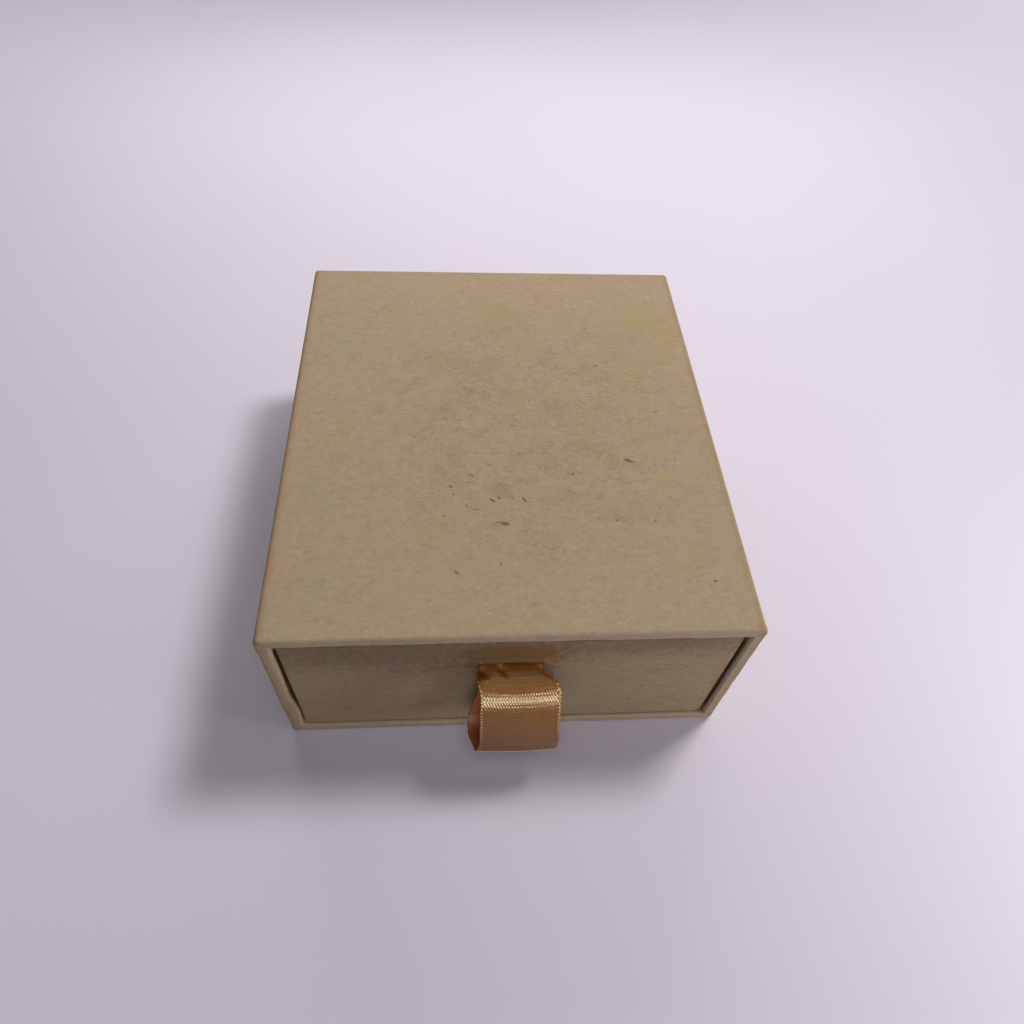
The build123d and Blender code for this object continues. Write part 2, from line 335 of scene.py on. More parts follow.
@dataclass(frozen=True)
class WrapProfile:
    """Section of a sheet that is wrapped over a board's edge, along the wall and over its end.

    inset is the distance in from the wall's outside, depth the distance from the rim. The path
    is: up the inside, a quarter arc on to the rim, across it, a quarter arc down the outside, a
    quarter arc round the far edge, and a lap on the far face.
    """

    inset: np.ndarray
    depth: np.ndarray
    lap: np.ndarray

    @staticmethod
    def over(
        wall: float,
        turn_in: float,
        inner_r: float,
        outer_r: float,
        length: float,
        end_r: float,
        lap: float,
        inside_stops: np.ndarray,
        outside_stops: np.ndarray,
        arc_steps: int = 7,
        lap_pitch: float = 1.5,
    ) -> "WrapProfile":
        """Lays the section's points.

        Args:
            wall: Wall thickness with the paper.
            turn_in: Depth of the sheet's edge inside.
            inner_r: Radius on the rim's inner edge.
            outer_r: Radius on the rim's outer edge.
            length: Depth of the far face.
            end_r: Radius on the far edge.
            lap: How far the sheet runs in over the far face.
            inside_stops: Depths of the rows inside, between turn_in and inner_r.
            outside_stops: Depths of the rows outside, between outer_r and length - end_r.
            arc_steps: Number of steps in each arc.
            lap_pitch: Largest distance between the lap's rows.

        Returns:
            The section.
        """
        quarter = np.linspace(0, math.pi / 2, arc_steps + 1)
        inside = np.sort(inside_stops)[::-1]
        outside = np.sort(outside_stops)
        rim = np.linspace(wall - inner_r, outer_r, 4)[1:-1]     # two rows between the rim's arcs
        far = steps(end_r, lap, lap_pitch)[1:]
        inset = np.concatenate([
            [wall], np.full(len(inside), wall),
            wall - inner_r + inner_r * np.cos(quarter), rim,
            outer_r - outer_r * np.sin(quarter), np.zeros(len(outside)),
            end_r - end_r * np.cos(quarter), far,
        ])
        depth = np.concatenate([
            [turn_in], inside,
            inner_r - inner_r * np.sin(quarter), np.zeros(len(rim)),
            outer_r - outer_r * np.cos(quarter), outside,
            length - end_r + end_r * np.sin(quarter), np.full(len(far), length),
        ])
        lap_rows = np.zeros(len(inset), dtype=bool)
        lap_rows[-len(far):] = True
        return WrapProfile(inset, depth, lap_rows)


# --------------------------------------------------------------------------- shader building
class Shading:
    """Builds one material: adds shader nodes and links them, one short call for each."""

    def __init__(self, name: str) -> None:
        """Starts an empty material.

        Args:
            name: The material's name.
        """
        self.material = bpy.data.materials.new(name)
        self.material.use_nodes = True
        self.tree = self.material.node_tree
        self.tree.nodes.clear()

    def add(self, kind: str, **settings: object) -> bpy.types.Node:
        """Adds a node.

        Args:
            kind: Its type, without the part that all shader nodes share.
            **settings: Its properties.

        Returns:
            The node.
        """
        node = self.tree.nodes.new(f"ShaderNode{kind}")
        for name, value in settings.items():
            setattr(node, name, value)
        return node

    def feed(self, socket: Socket, value: object) -> None:
        """Links a socket to another one, or sets its value.

        Args:
            socket: The input.
            value: An output of another node, a number, a vector or a colour.
        """
        if isinstance(value, bpy.types.NodeSocket):
            self.tree.links.new(value, socket)
        elif isinstance(value, (tuple, list)) and len(socket.default_value) == 4:
            socket.default_value = (*value[:3], 1.0)
        else:
            socket.default_value = value

    def maths(self, operation: str, a: object, b: object = 0.0) -> Socket:
        """One arithmetic step.

        Args:
            operation: The step, as Blender names it.
            a: The first number.
            b: The second number, if the step takes one.

        Returns:
            The result.
        """
        node = self.add("Math", operation=operation)
        self.feed(node.inputs[0], a)
        self.feed(node.inputs[1], b)
        return node.outputs[0]

    def plus(self, a: object, b: object) -> Socket:
        """Sum of two numbers."""
        return self.maths("ADD", a, b)

    def minus(self, a: object, b: object) -> Socket:
        """Difference of two numbers."""
        return self.maths("SUBTRACT", a, b)

    def times(self, a: object, b: object) -> Socket:
        """Product of two numbers."""
        return self.maths("MULTIPLY", a, b)

    def most(self, a: object, b: object) -> Socket:
        """The greater of two numbers."""
        return self.maths("MAXIMUM", a, b)

    def size(self, a: object) -> Socket:
        """A number without its sign."""
        return self.maths("ABSOLUTE", a)

    def wave(self, turns: Socket) -> Socket:
        """A wave from 0 to 1 that repeats with each whole number: half of 1 + sin."""
        return self.plus(self.times(self.maths("SINE", self.times(turns, 2 * math.pi)), 0.5), 0.5)

    def vector(self, operation: str, a: object, b: object = (0.0, 0.0, 0.0)) -> Socket:
        """One step on two vectors.

        Args:
            operation: The step, as Blender names it.
            a: The first vector.
            b: The second vector, if the step takes one.

        Returns:
            The result: a number for LENGTH and DISTANCE, a vector otherwise.
        """
        node = self.add("VectorMath", operation=operation)
        self.feed(node.inputs[0], a)
        self.feed(node.inputs[1], b)
        return node.outputs["Value" if operation in ("LENGTH", "DISTANCE") else "Vector"]

    def apart(self, value: Socket, kind: str = "XYZ") -> tuple[Socket, ...]:
        """Takes a vector or a colour apart.

        Args:
            value: The vector or colour.
            kind: XYZ for a vector, Color for a colour.

        Returns:
            Its three numbers.
        """
        node = self.add(f"Separate{kind}")
        self.feed(node.inputs[0], value)
        return tuple(node.outputs)

    def stretched(self, at: Socket, scale: Place, turn: Place = (0.0, 0.0, 0.0)) -> Socket:
        """Coordinates scaled, then turned, for a pattern that runs one way.

        Args:
            at: The coordinates.
            scale: Factor on each axis.
            turn: Turn about each axis, in radians.

        Returns:
            The new coordinates.
        """
        node = self.add("Mapping", vector_type="POINT")
        self.feed(node.inputs["Vector"], at)
        node.inputs["Scale"].default_value = scale
        node.inputs["Rotation"].default_value = turn
        return node.outputs[0]

    def object_mm(self) -> Socket:
        """Object coordinates in millimetres."""
        return self.stretched(self.add("TexCoord").outputs["Object"], (1 / MM, 1 / MM, 1 / MM))

    def cloth_mm(self) -> Socket:
        """The piece's own flat map, in millimetres of cloth."""
        return self.add("UVMap", uv_map="cloth").outputs[0]

    def noise(self, at: Socket, per_mm: float, detail: float = 2.0, rough: float = 0.5) -> Socket:
        """Noise of about 0 to 1.

        Args:
            at: Coordinates in mm.
            per_mm: Number of cells in a millimetre.
            detail: Number of finer layers.
            rough: Share of the finer layers.

        Returns:
            The noise.
        """
        node = self.add("TexNoise")
        self.feed(node.inputs["Vector"], at)
        for name, value in (("Scale", per_mm), ("Detail", detail), ("Roughness", rough)):
            node.inputs[name].default_value = value
        return node.outputs["Fac"]

    def cells(self, at: Socket, per_mm: float, feature: str = "F1") -> bpy.types.Node:
        """A pattern of irregular cells.

        Args:
            at: Coordinates in mm.
            per_mm: Number of cells in a millimetre.
            feature: What its distance is measured to, as Blender names it.

        Returns:
            The pattern's node.
        """
        node = self.add("TexVoronoi", feature=feature)
        self.feed(node.inputs["Vector"], at)
        node.inputs["Scale"].default_value = per_mm
        return node

    def band(self, value: object, low: float, high: float, start: float = 0.0,
             end: float = 1.0) -> Socket:
        """Smooth step of a value.

        Args:
            value: The value.
            low: Where the step begins.
            high: Where it ends; it may be below low.
            start: Result at low.
            end: Result at high.

        Returns:
            The result.
        """
        node = self.add("MapRange", interpolation_type="SMOOTHSTEP")
        self.feed(node.inputs["Value"], value)
        for name, number in (("From Min", low), ("From Max", high), ("To Min", start),
                             ("To Max", end)):
            node.inputs[name].default_value = number
        return node.outputs[0]

    def mix(self, share: object, a: object, b: object) -> Socket:
        """Mixes two colours.

        Args:
            share: Share of the second colour.
            a: The first colour.
            b: The second colour.

        Returns:
            The mixed colour.
        """
        node = self.add("Mix", data_type="RGBA")
        self.feed(node.inputs[0], share)
        self.feed(node.inputs[6], a)
        self.feed(node.inputs[7], b)
        return node.outputs[2]

    def bump(self, height: Socket, depth_mm: float, strength: float,
             under: Socket | None = None) -> Socket:
        """Relief from a height.

        Args:
            height: The height, 0 to 1.
            depth_mm: Depth of the relief.
            strength: Its share, 0 to 1.
            under: An earlier relief that this one lies on.

        Returns:
            The normal.
        """
        node = self.add("Bump")
        self.feed(node.inputs["Height"], height)
        node.inputs["Distance"].default_value = depth_mm * MM
        node.inputs["Strength"].default_value = strength
        if under is not None:
            self.feed(node.inputs["Normal"], under)
        return node.outputs[0]

    def finish(self, colour: Socket, roughness: object, relief: Socket | None,
               **constants: object) -> bpy.types.Material:
        """Adds the surface shader and its output.

        Args:
            colour: The base colour.
            roughness: The roughness, a number or a socket.
            relief: The normal, or None.
            **constants: Other sockets of the shader by name, with _ for a space.

        Returns:
            The material.
        """
        shader = self.add("BsdfPrincipled")
        self.feed(shader.inputs["Base Color"], colour)
        self.feed(shader.inputs["Roughness"], roughness)
        if relief is not None:
            self.feed(shader.inputs["Normal"], relief)
        for name, value in constants.items():
            self.feed(shader.inputs[name.replace("_", " ")], value)
        output = self.add("OutputMaterial")
        self.tree.links.new(shader.outputs[0], output.inputs["Surface"])
        return self.material


class Face(Enum):
    """The side of the box that a mark in the paper lies on."""

    TOP = "top"
    FRONT = "front"


MARK_EDGE = 1.65        # length from its middle, with the noise added, at which a mark ends
MARK_REACH = 3.0        # half size of a mark square to its face, in mm


@dataclass(frozen=True)
class Mark:
    """One mark in the paper: its middle on its face, its size and turn, in mm and degrees."""

    across: float
    up: float
    long: float
    wide: float
    degrees: float = 0.0
    depth: float = 0.8

    def share(self, s: Shading, place: Socket, ragged: Socket, face: Face, level: float,
              soft: float) -> Socket:
        """An oval with ragged edges: its length from the middle in its own stretched frame.

        Args:
            s: The material being built.
            place: Object coordinates in mm.
            ragged: Noise that is added to the length, about 0 to 1.
            face: The side it lies on.
            level: Where that side is, in mm.
            soft: Width of its soft edge, as a part of its size.

        Returns:
            The mark's share of the colour.
        """
        node = s.add("Mapping", vector_type="TEXTURE")
        s.feed(node.inputs["Vector"], place)
        angle = math.radians(self.degrees)
        if face is Face.FRONT:
            middle, turn = (self.across, level, self.up), (0.0, -angle, 0.0)
            size = (self.long / 2, MARK_REACH, self.wide / 2)
        else:
            middle, turn = (self.across, self.up, level), (0.0, 0.0, angle)
            size = (self.long / 2, self.wide / 2, MARK_REACH)
        for name, value in (("Location", middle), ("Rotation", turn), ("Scale", size)):
            node.inputs[name].default_value = value
        away = s.plus(s.vector("LENGTH", node.outputs[0]), ragged)
        return s.band(away, MARK_EDGE + soft / 2, MARK_EDGE - soft / 2, 0.0, self.depth)


@dataclass(frozen=True)
class MarkedFace:
    """The marks that stand out on one face of the box, by kind."""

    face: Face
    level: float                        # where the face is, in mm
    flecks: tuple[Mark, ...]            # dark wood flecks with sharp edges
    stains_and_glow: tuple[Mark, ...]            # small yellow stains; on the drawer front, a painted warm glow
    smudges_and_shade: tuple[Mark, ...]           # soft brown smudges; on the drawer front, broad painted shade
    patchy: tuple[float, float] = (0.15, 1.3)   # least and greatest share within a smudge or a patch of painted shade


@dataclass(frozen=True)
class KraftPaper:
    """Matt kraft paper: even tan with faint clouds, small yellow stains, hairs and wood flecks."""

    name: str
    tan: Colour = from_srgb(161, 141.5, 116)
    rosy: Colour = from_srgb(163.5, 140.5, 116.5)
    cool: Colour = from_srgb(158, 140.5, 116)
    yellow: Colour = from_srgb(158, 138, 101)
    brown: Colour = from_srgb(134, 113, 87)
    fleck: Colour = from_srgb(84, 68, 42)
    pale: Colour = from_srgb(182, 164, 138)
    worn: Colour = from_srgb(143, 116, 83)
    # painted shade for the gap just inside the sleeve's mouth
    painted_mouth_shade: Colour = from_srgb(92, 73, 51)
    # colour of the smudges; on the drawer front, of the painted shade
    smudge_and_shade: Colour = from_srgb(134, 113, 87)
    # colour of the stains; on the drawer front, of the painted warm glow
    stain_and_glow: Colour = from_srgb(158, 138, 101)
    gloss: float = 0.1
    worn_edge: float | None = None      # half width where the long edges turn brown
    mouth: Place | None = None          # half opening, middle height and front, in mm
    shaded_mouth_height: float = 14.95           # half height of the painted shade in the mouth
    hazy: Place | None = None           # middle of the smudged part
    sallow: Place | None = None         # middle of the yellowed part
    flecked: Place | None = None        # middle of the most flecked part
    marks: MarkedFace | None = None
    shift: Place = (0.0, 0.0, 0.0)      # where in the pattern this sheet was cut

    def make(self) -> bpy.types.Material:
        """Builds the paper: tones, fibres, marks, wear and painted shade in the mouth, then
        relief.

        Returns:
            The material, on Object coordinates.
        """
        s = Shading(self.name)
        place = s.object_mm()
        at = s.vector("ADD", place, self.shift)
        bent = self.wandering(s, at)
        haze = self.nearness(s, place, self.hazy, 48.0, 14.0, 0.3, 1.0)
        colour = self.tones(s, at, place)
        clouds = s.times(s.band(s.noise(bent, 0.2, 8.0, 0.72), 0.46, 0.72, 0.12, 0.66), haze)
        colour = s.mix(clouds, colour, self.brown)

        felt = s.noise(s.stretched(bent, (0.8, 1.5, 1.5)), 0.75, 6.0, 0.74)
        colour = s.mix(s.band(felt, 0.5, 0.72, 0.0, 0.5), colour, self.brown)
        colour = s.mix(s.band(felt, 0.49, 0.3, 0.0, 0.42), colour, self.pale)
        dark = self.hairs(s, bent, (8.0, -47.0, 58.0))
        colour = s.mix(s.times(dark, s.plus(s.times(haze, 0.6), 0.1)), colour, self.brown)
        light = self.hairs(s, s.vector("ADD", bent, (40.0, 9.0, 23.0)), (24.0, -20.0))
        colour = s.mix(s.times(light, 0.3), colour, self.pale)

        colour = self.marked(s, colour, bent, place)
        if self.worn_edge is not None:
            colour = s.mix(self.wear(s, at, place), colour, self.worn)
        if self.mouth is not None:
            # painted shade in the gap just inside the mouth
            colour = s.mix(self.mouth_shade_share(s, place), colour, self.painted_mouth_shade)

        height = s.plus(s.times(s.noise(at, 2.4, 5.0, 0.65), 0.6),
                        s.times(s.plus(dark, light), 0.2))
        relief = s.bump(height, 0.05, 0.5)
        relief = s.bump(s.noise(at, 0.12, 2.0), 0.5, 0.16, relief)
        rough = s.band(s.noise(at, 0.5, 3.0), 0.3, 0.7, 0.56, 0.7)
        return s.finish(colour, rough, relief, Specular_IOR_Level=self.gloss)

    def tones(self, s: Shading, at: Socket, place: Socket) -> Socket:
        """Broad soft patches of slightly different tan, and yellow where the sheet has aged.

        Args:
            s: The material being built.
            at: This sheet's coordinates in mm.
            place: Object coordinates in mm.

        Returns:
            The colour.
        """
        colour = s.mix(s.band(s.noise(at, 0.05, 4.0), 0.4, 0.62), self.tan, self.rosy)
        turned = s.stretched(at, (1, 1, 1), (0.4, 0.2, 0.9))
        colour = s.mix(s.band(s.noise(turned, 0.07, 5.0), 0.5, 0.62, 0.0, 0.8), colour, self.cool)
        aged = self.nearness(s, place, self.sallow, 60.0, 12.0, 0.15, 1.0)
        patches = s.noise(s.stretched(turned, (1.3, 0.8, 1.0)), 0.1, 6.0, 0.58)
        patches = s.plus(patches, s.times(aged, 0.12))
        return s.mix(s.band(patches, 0.63, 0.73, 0.0, 0.6), colour, self.yellow)

    @staticmethod
    def wandering(s: Shading, at: Socket) -> Socket:
        """Coordinates pushed about by up to a millimetre, so that no pattern runs straight.

        Args:
            s: The material being built.
            at: Coordinates in mm.

        Returns:
            The new coordinates.
        """
        wander = s.add("TexNoise")
        s.feed(wander.inputs["Vector"], at)
        wander.inputs["Scale"].default_value = 0.35
        scaled = s.add("VectorMath", operation="SCALE")
        s.feed(scaled.inputs[0], wander.outputs["Color"])
        scaled.inputs["Scale"].default_value = 2.4
        return s.vector("ADD", at, scaled.outputs[0])

    @staticmethod
    def nearness(s: Shading, place: Socket, middle: Place | None, far: float, near: float,
                 low: float, high: float) -> object:
        """How near a point is to a middle, for marks that are denser there.

        Args:
            s: The material being built.
            place: Object coordinates in mm.
            middle: The middle, or None.
            far: Distance from which the result is low.
            near: Distance within which it is high.
            low: Result far away.
            high: Result nearby.

        Returns:
            The result; without a middle, a number between low and high.
        """
        if middle is None:
            return low + 0.4 * (high - low)
        return s.band(s.vector("DISTANCE", place, middle), far, near, low, high)

    @staticmethod
    def hairs(s: Shading, at: Socket, ways: tuple[float, ...]) -> Socket:
        """Short thin hairs: long narrow cells, half of them kept.

        Args:
            s: The material being built.
            at: Coordinates in mm.
            ways: Directions that they lie in, in degrees.

        Returns:
            1 on a hair and 0 beside it.
        """
        found: object = 0.0
        for number, degrees in enumerate(ways):
            angle = math.radians(degrees)
            turned = s.stretched(at, (1, 1, 1), (angle * 0.7, 0.3 + number, angle))
            cell = s.cells(s.stretched(turned, (0.45, 3.4, 3.4)), 0.6)
            kept, length, _ = s.apart(cell.outputs["Color"], "Color")
            length = s.times(s.times(length, 0.34), s.maths("LESS_THAN", kept, 0.5))
            inside = s.band(s.minus(length, cell.outputs["Distance"]), 0.0, 0.07)
            found = s.most(found, inside)
        return found

    def wear(self, s: Shading, at: Socket, place: Socket) -> Socket:
        """Wear along the two long edges, with a ragged border.

        Args:
            s: The material being built.
            at: This sheet's coordinates in mm.
            place: Object coordinates in mm.

        Returns:
            The share of brown.
        """
        out = s.size(s.apart(place)[0])
        ragged = s.plus(out, s.times(s.noise(at, 0.3, 5.0), 2.0))
        return s.band(ragged, self.worn_edge - 1.2, self.worn_edge + 1.2, 0.0, 0.8)

    def mouth_shade_share(self, s: Shading, place: Socket) -> Socket:
        """Painted shade on the inner walls just inside the mouth, in the gap beside the drawer.

        Args:
            s: The material being built.
            place: Object coordinates in mm.

        Returns:
            The share of rubbed paper.
        """
        half, level, front = self.mouth
        across, back, up = s.apart(place)
        out, up = s.size(across), s.size(s.minus(up, level))
        inside = s.times(s.band(out, half + 0.35, half + 0.1),
                         s.band(up, self.shaded_mouth_height, self.shaded_mouth_height - 0.25))
        deep = s.minus(back, front)
        return s.times(inside, s.times(s.band(deep, 0.35, 0.9),
                                       s.band(deep, 14.0, 3.0, 0.3, 0.85)))

    def marked(self, s: Shading, colour: Socket, bent: Socket, place: Socket) -> Socket:
        """Adds the small stains, smudges and flecks, and a thin scatter of specks; on the drawer
        front the stain is a painted glow and the smudges are painted shade.

        Args:
            s: The material being built.
            colour: The paper's colour so far.
            bent: Wandering coordinates in mm.
            place: Object coordinates in mm.

        Returns:
            The colour with its marks.
        """
        cell = s.cells(s.stretched(bent, (1.0, 1.7, 1.7)), 0.5)
        chance, size, _ = s.apart(cell.outputs["Color"], "Color")
        wanted = self.nearness(s, place, self.flecked, 24.0, 4.0, 0.015, 0.12)
        inside = s.minus(s.times(size, 0.17), cell.outputs["Distance"])
        specks = s.times(s.band(inside, -0.03, 0.09, 0.0, 0.8),
                         s.maths("LESS_THAN", chance, wanted))
        if self.marks is None:
            return s.mix(specks, colour, self.fleck)
        coarse = s.times(s.noise(place, 0.7, 5.0, 0.7), 1.5)
        fine = s.plus(s.times(s.noise(place, 2.6, 5.0, 0.8), 3.2), -0.85)
        shreds = s.noise(s.stretched(bent, (0.8, 1.6, 1.6), (0.0, 0.0, 0.5)), 1.2, 4.0, 0.7)
        # on the drawer front the stains and smudges are a painted glow and painted shade
        # marks, their colour, the noise on their edge, its softness, what is there, what is kept
        kinds = ((self.marks.stains_and_glow, self.stain_and_glow, coarse, 0.9, None, 1.0),
                 (self.marks.smudges_and_shade, self.smudge_and_shade, coarse, 1.2, None,
                  s.band(shreds, 0.44, 0.62, *self.marks.patchy)),
                 (self.marks.flecks, self.fleck, fine, 0.45, specks, 1.0))
        for marks, tint, ragged, soft, found, kept in kinds:
            for mark in marks:
                share = mark.share(s, place, ragged, self.marks.face, self.marks.level, soft)
                found = share if found is None else s.most(found, share)
            colour = s.mix(s.times(found, kept), colour, tint)
        return colour


@dataclass(frozen=True)
class Greyboard:
    """Recycled greyboard: grey-brown pulp with paler and darker shreds."""

    name: str = "greyboard"
    grey: Colour = from_srgb(140, 133, 122)
    dark: Colour = from_srgb(104, 98, 90)
    pale: Colour = from_srgb(178, 172, 160)

    def make(self) -> bpy.types.Material:
        """Builds the board's material, on Object coordinates.

        Returns:
            The material.
        """
        s = Shading(self.name)
        at = s.object_mm()
        pulp = s.band(s.noise(at, 0.5, 6.0, 0.7), 0.4, 0.65, 0.0, 0.7)
        colour = s.mix(pulp, self.grey, self.dark)
        # shreds are the thin walls between cells, broken up by noise
        wall = s.cells(s.stretched(at, (0.8, 1.2, 3.0)), 0.9, "DISTANCE_TO_EDGE")
        thin = s.band(wall.outputs["Distance"], 0.075, 0.015)
        shreds = s.times(thin, s.band(s.noise(at, 1.17, 2.0), 0.5, 0.58))
        colour = s.mix(s.times(shreds, 0.7), colour, self.pale)
        relief = s.bump(s.noise(at, 1.6, 5.0, 0.7), 0.08, 0.6)
        return s.finish(colour, 0.85, relief, Specular_IOR_Level=0.2)


@dataclass(frozen=True)
class GummedTape:
    """Gummed kraft tape: brown, ribbed, with a dull gum shine."""

    name: str = "gummed_tape"
    brown: Colour = from_srgb(158, 122, 82)
    dark: Colour = from_srgb(128, 96, 62)

    def make(self) -> bpy.types.Material:
        """Builds the tape's material, on Object coordinates.

        Returns:
            The material.
        """
        s = Shading(self.name)
        at = s.object_mm()
        ribs = s.noise(s.stretched(at, (0.5, 0.5, 6.0)), 0.8, 2.0)
        colour = s.mix(s.band(ribs, 0.4, 0.6, 0.0, 0.6), self.brown, self.dark)
        rough = s.band(ribs, 0.3, 0.7, 0.4, 0.55)
        return s.finish(colour, rough, s.bump(ribs, 0.04, 0.5), Specular_IOR_Level=0.4)


@dataclass(frozen=True)
class SatinRibbon:
    """Bronze satin ribbon: glossy floats, darker sinks between them, looped edges, a dull back."""

    crease: float                       # where along the strip it is folded sharply
    name: str = "satin_ribbon"
    float_colour: Colour = from_srgb(153, 94, 31)
    sink_colour: Colour = from_srgb(114, 67, 18)
    edge_colour: Colour = from_srgb(134, 82, 30)
    # the edge loops' colour, also used for the painted highlight along the fold
    loop_and_highlight: Colour = from_srgb(216, 184, 124)
    back_colour: Colour = from_srgb(158, 92, 40)
    # painted shade: the front layer darkens towards the fold
    painted_fold_shade: Colour = from_srgb(92, 50, 10)
    shine: Colour = (1.0, 0.82, 0.46)   # tint of the floats' gloss
    half_width: float = 7.5
    twill_pitch: float = 0.48           # between diagonal lines
    twill_degrees: float = -23.0        # across the lines, from the width towards the length
    cross_share: float = 0.34           # of the weaker diagonal that crosses the first
    rib_pitch: float = 1.0              # between faint ribs across the strip
    rib_bow: float = 0.012              # a rib's bow, in mm at 1 mm from the middle
    loop_pitch: float = 0.8             # between the edge's loops
    fold_shade_span: tuple[float, float] = (11.0, 2.0)      # painted shade begins, and is full, this far before the crease

    def make(self) -> bpy.types.Material:
        """Builds the satin, on the ribbon's own flat map in mm, with painted shade and a painted
        highlight at the fold.

        Returns:
            The material.
        """
        s = Shading(self.name)
        at = s.cloth_mm()
        across, along, _ = s.apart(at)
        out = s.size(across)

        uneven = s.times(s.noise(at, 0.35, 2.0), 0.35)
        turn = math.radians(self.twill_degrees)
        over = s.plus(s.times(across, math.cos(turn) / self.twill_pitch), uneven)
        rise = s.times(along, math.sin(turn) / self.twill_pitch)
        weave = s.plus(s.times(s.wave(s.plus(over, rise)), 1.0 - self.cross_share),
                       s.times(s.wave(s.minus(over, rise)), self.cross_share))
        bowed = s.plus(along, s.times(s.times(across, across), self.rib_bow))
        ribs = s.wave(s.plus(s.times(bowed, 1.0 / self.rib_pitch), uneven))

        edge = s.band(out, self.half_width - 0.75, self.half_width - 0.45)
        loops = s.wave(s.times(along, 1.0 / self.loop_pitch))
        cord = s.band(s.size(s.minus(out, self.half_width - 0.3)), 0.32, 0.02)

        colour = s.mix(s.band(weave, 0.25, 0.8), self.sink_colour, self.float_colour)
        shade = s.band(s.noise(s.stretched(at, (1.0, 0.35, 1.0)), 0.3, 3.0), 0.35, 0.7, 0.0, 0.3)
        colour = s.mix(shade, colour, self.sink_colour)
        colour = s.mix(s.times(ribs, 0.4), colour, self.sink_colour)
        colour = s.mix(edge, colour, self.edge_colour)
        colour = s.mix(s.times(cord, s.band(loops, 0.3, 0.8, 0.0, 0.85)), colour,
                       self.loop_and_highlight)
        # painted shade, darker towards the fold
        first, full = self.fold_shade_span
        fold_shade_share = s.band(along, self.crease - first, self.crease - full, 0.0, 0.75)
        colour = s.mix(fold_shade_share, colour, self.painted_fold_shade)
        # painted highlight: a pale line along the fold
        away = s.size(s.minus(along, self.crease))
        colour = s.mix(s.band(away, 0.45, 0.25, 0.0, 0.75), colour, self.loop_and_highlight)

        relief = s.bump(weave, 0.05, 0.8)
        relief = s.bump(ribs, 0.03, 0.5, relief)
        relief = s.bump(s.times(cord, s.plus(0.4, s.times(loops, 0.6))), 0.16, 0.7, relief)
        relief = s.bump(s.noise(s.stretched(at, (0.4, 1.0, 1.0)), 0.5, 2.0), 0.12, 0.25, relief)
        rough = s.band(weave, 0.25, 0.8, 0.38, 0.21)
        return s.finish(colour, rough, relief, IOR=1.5, Specular_IOR_Level=0.55,
                        Specular_Tint=self.shine)

    def make_back(self) -> bpy.types.Material:
        """Builds the strip's wrong side: even, dull and redder, with fine ribs across.

        Returns:
            The material.
        """
        s = Shading(f"{self.name}_back")
        ribs = s.noise(s.stretched(s.cloth_mm(), (0.3, 3.0, 1.0)), 1.0, 2.0)
        colour = s.mix(s.band(ribs, 0.35, 0.65, 0.0, 0.6), self.back_colour, self.sink_colour)
        return s.finish(colour, 0.6, s.bump(ribs, 0.04, 0.5), Specular_IOR_Level=0.25)


@dataclass(frozen=True)
class StudioPaper:
    """Plain pale floor with a very faint mottle."""

    name: str = "studio_floor"
    pale: Colour = from_srgb(212, 205, 219)
    near: float = 200.0                 # from here outwards the floor pales as its light falls off
    far: float = 800.0

    def make(self) -> bpy.types.Material:
        """Builds the floor's material, on Object coordinates.

        Returns:
            The material.
        """
        s = Shading(self.name)
        at = s.object_mm()
        deeper = tuple(c * 0.97 for c in self.pale)
        colour = s.mix(s.band(s.noise(at, 0.004, 2.0), 0.4, 0.6), self.pale, deeper)
        path = s.add("LightPath").outputs
        seen = s.most(path["Is Camera Ray"], path["Is Glossy Ray"])
        seen = s.most(seen, path["Is Transmission Ray"])
        away = s.band(s.vector("LENGTH", at), self.near, self.far)
        return s.finish(colour, 0.9, None, Specular_IOR_Level=0.0, Emission_Color=self.pale,
                        Emission_Strength=s.times(seen, away))


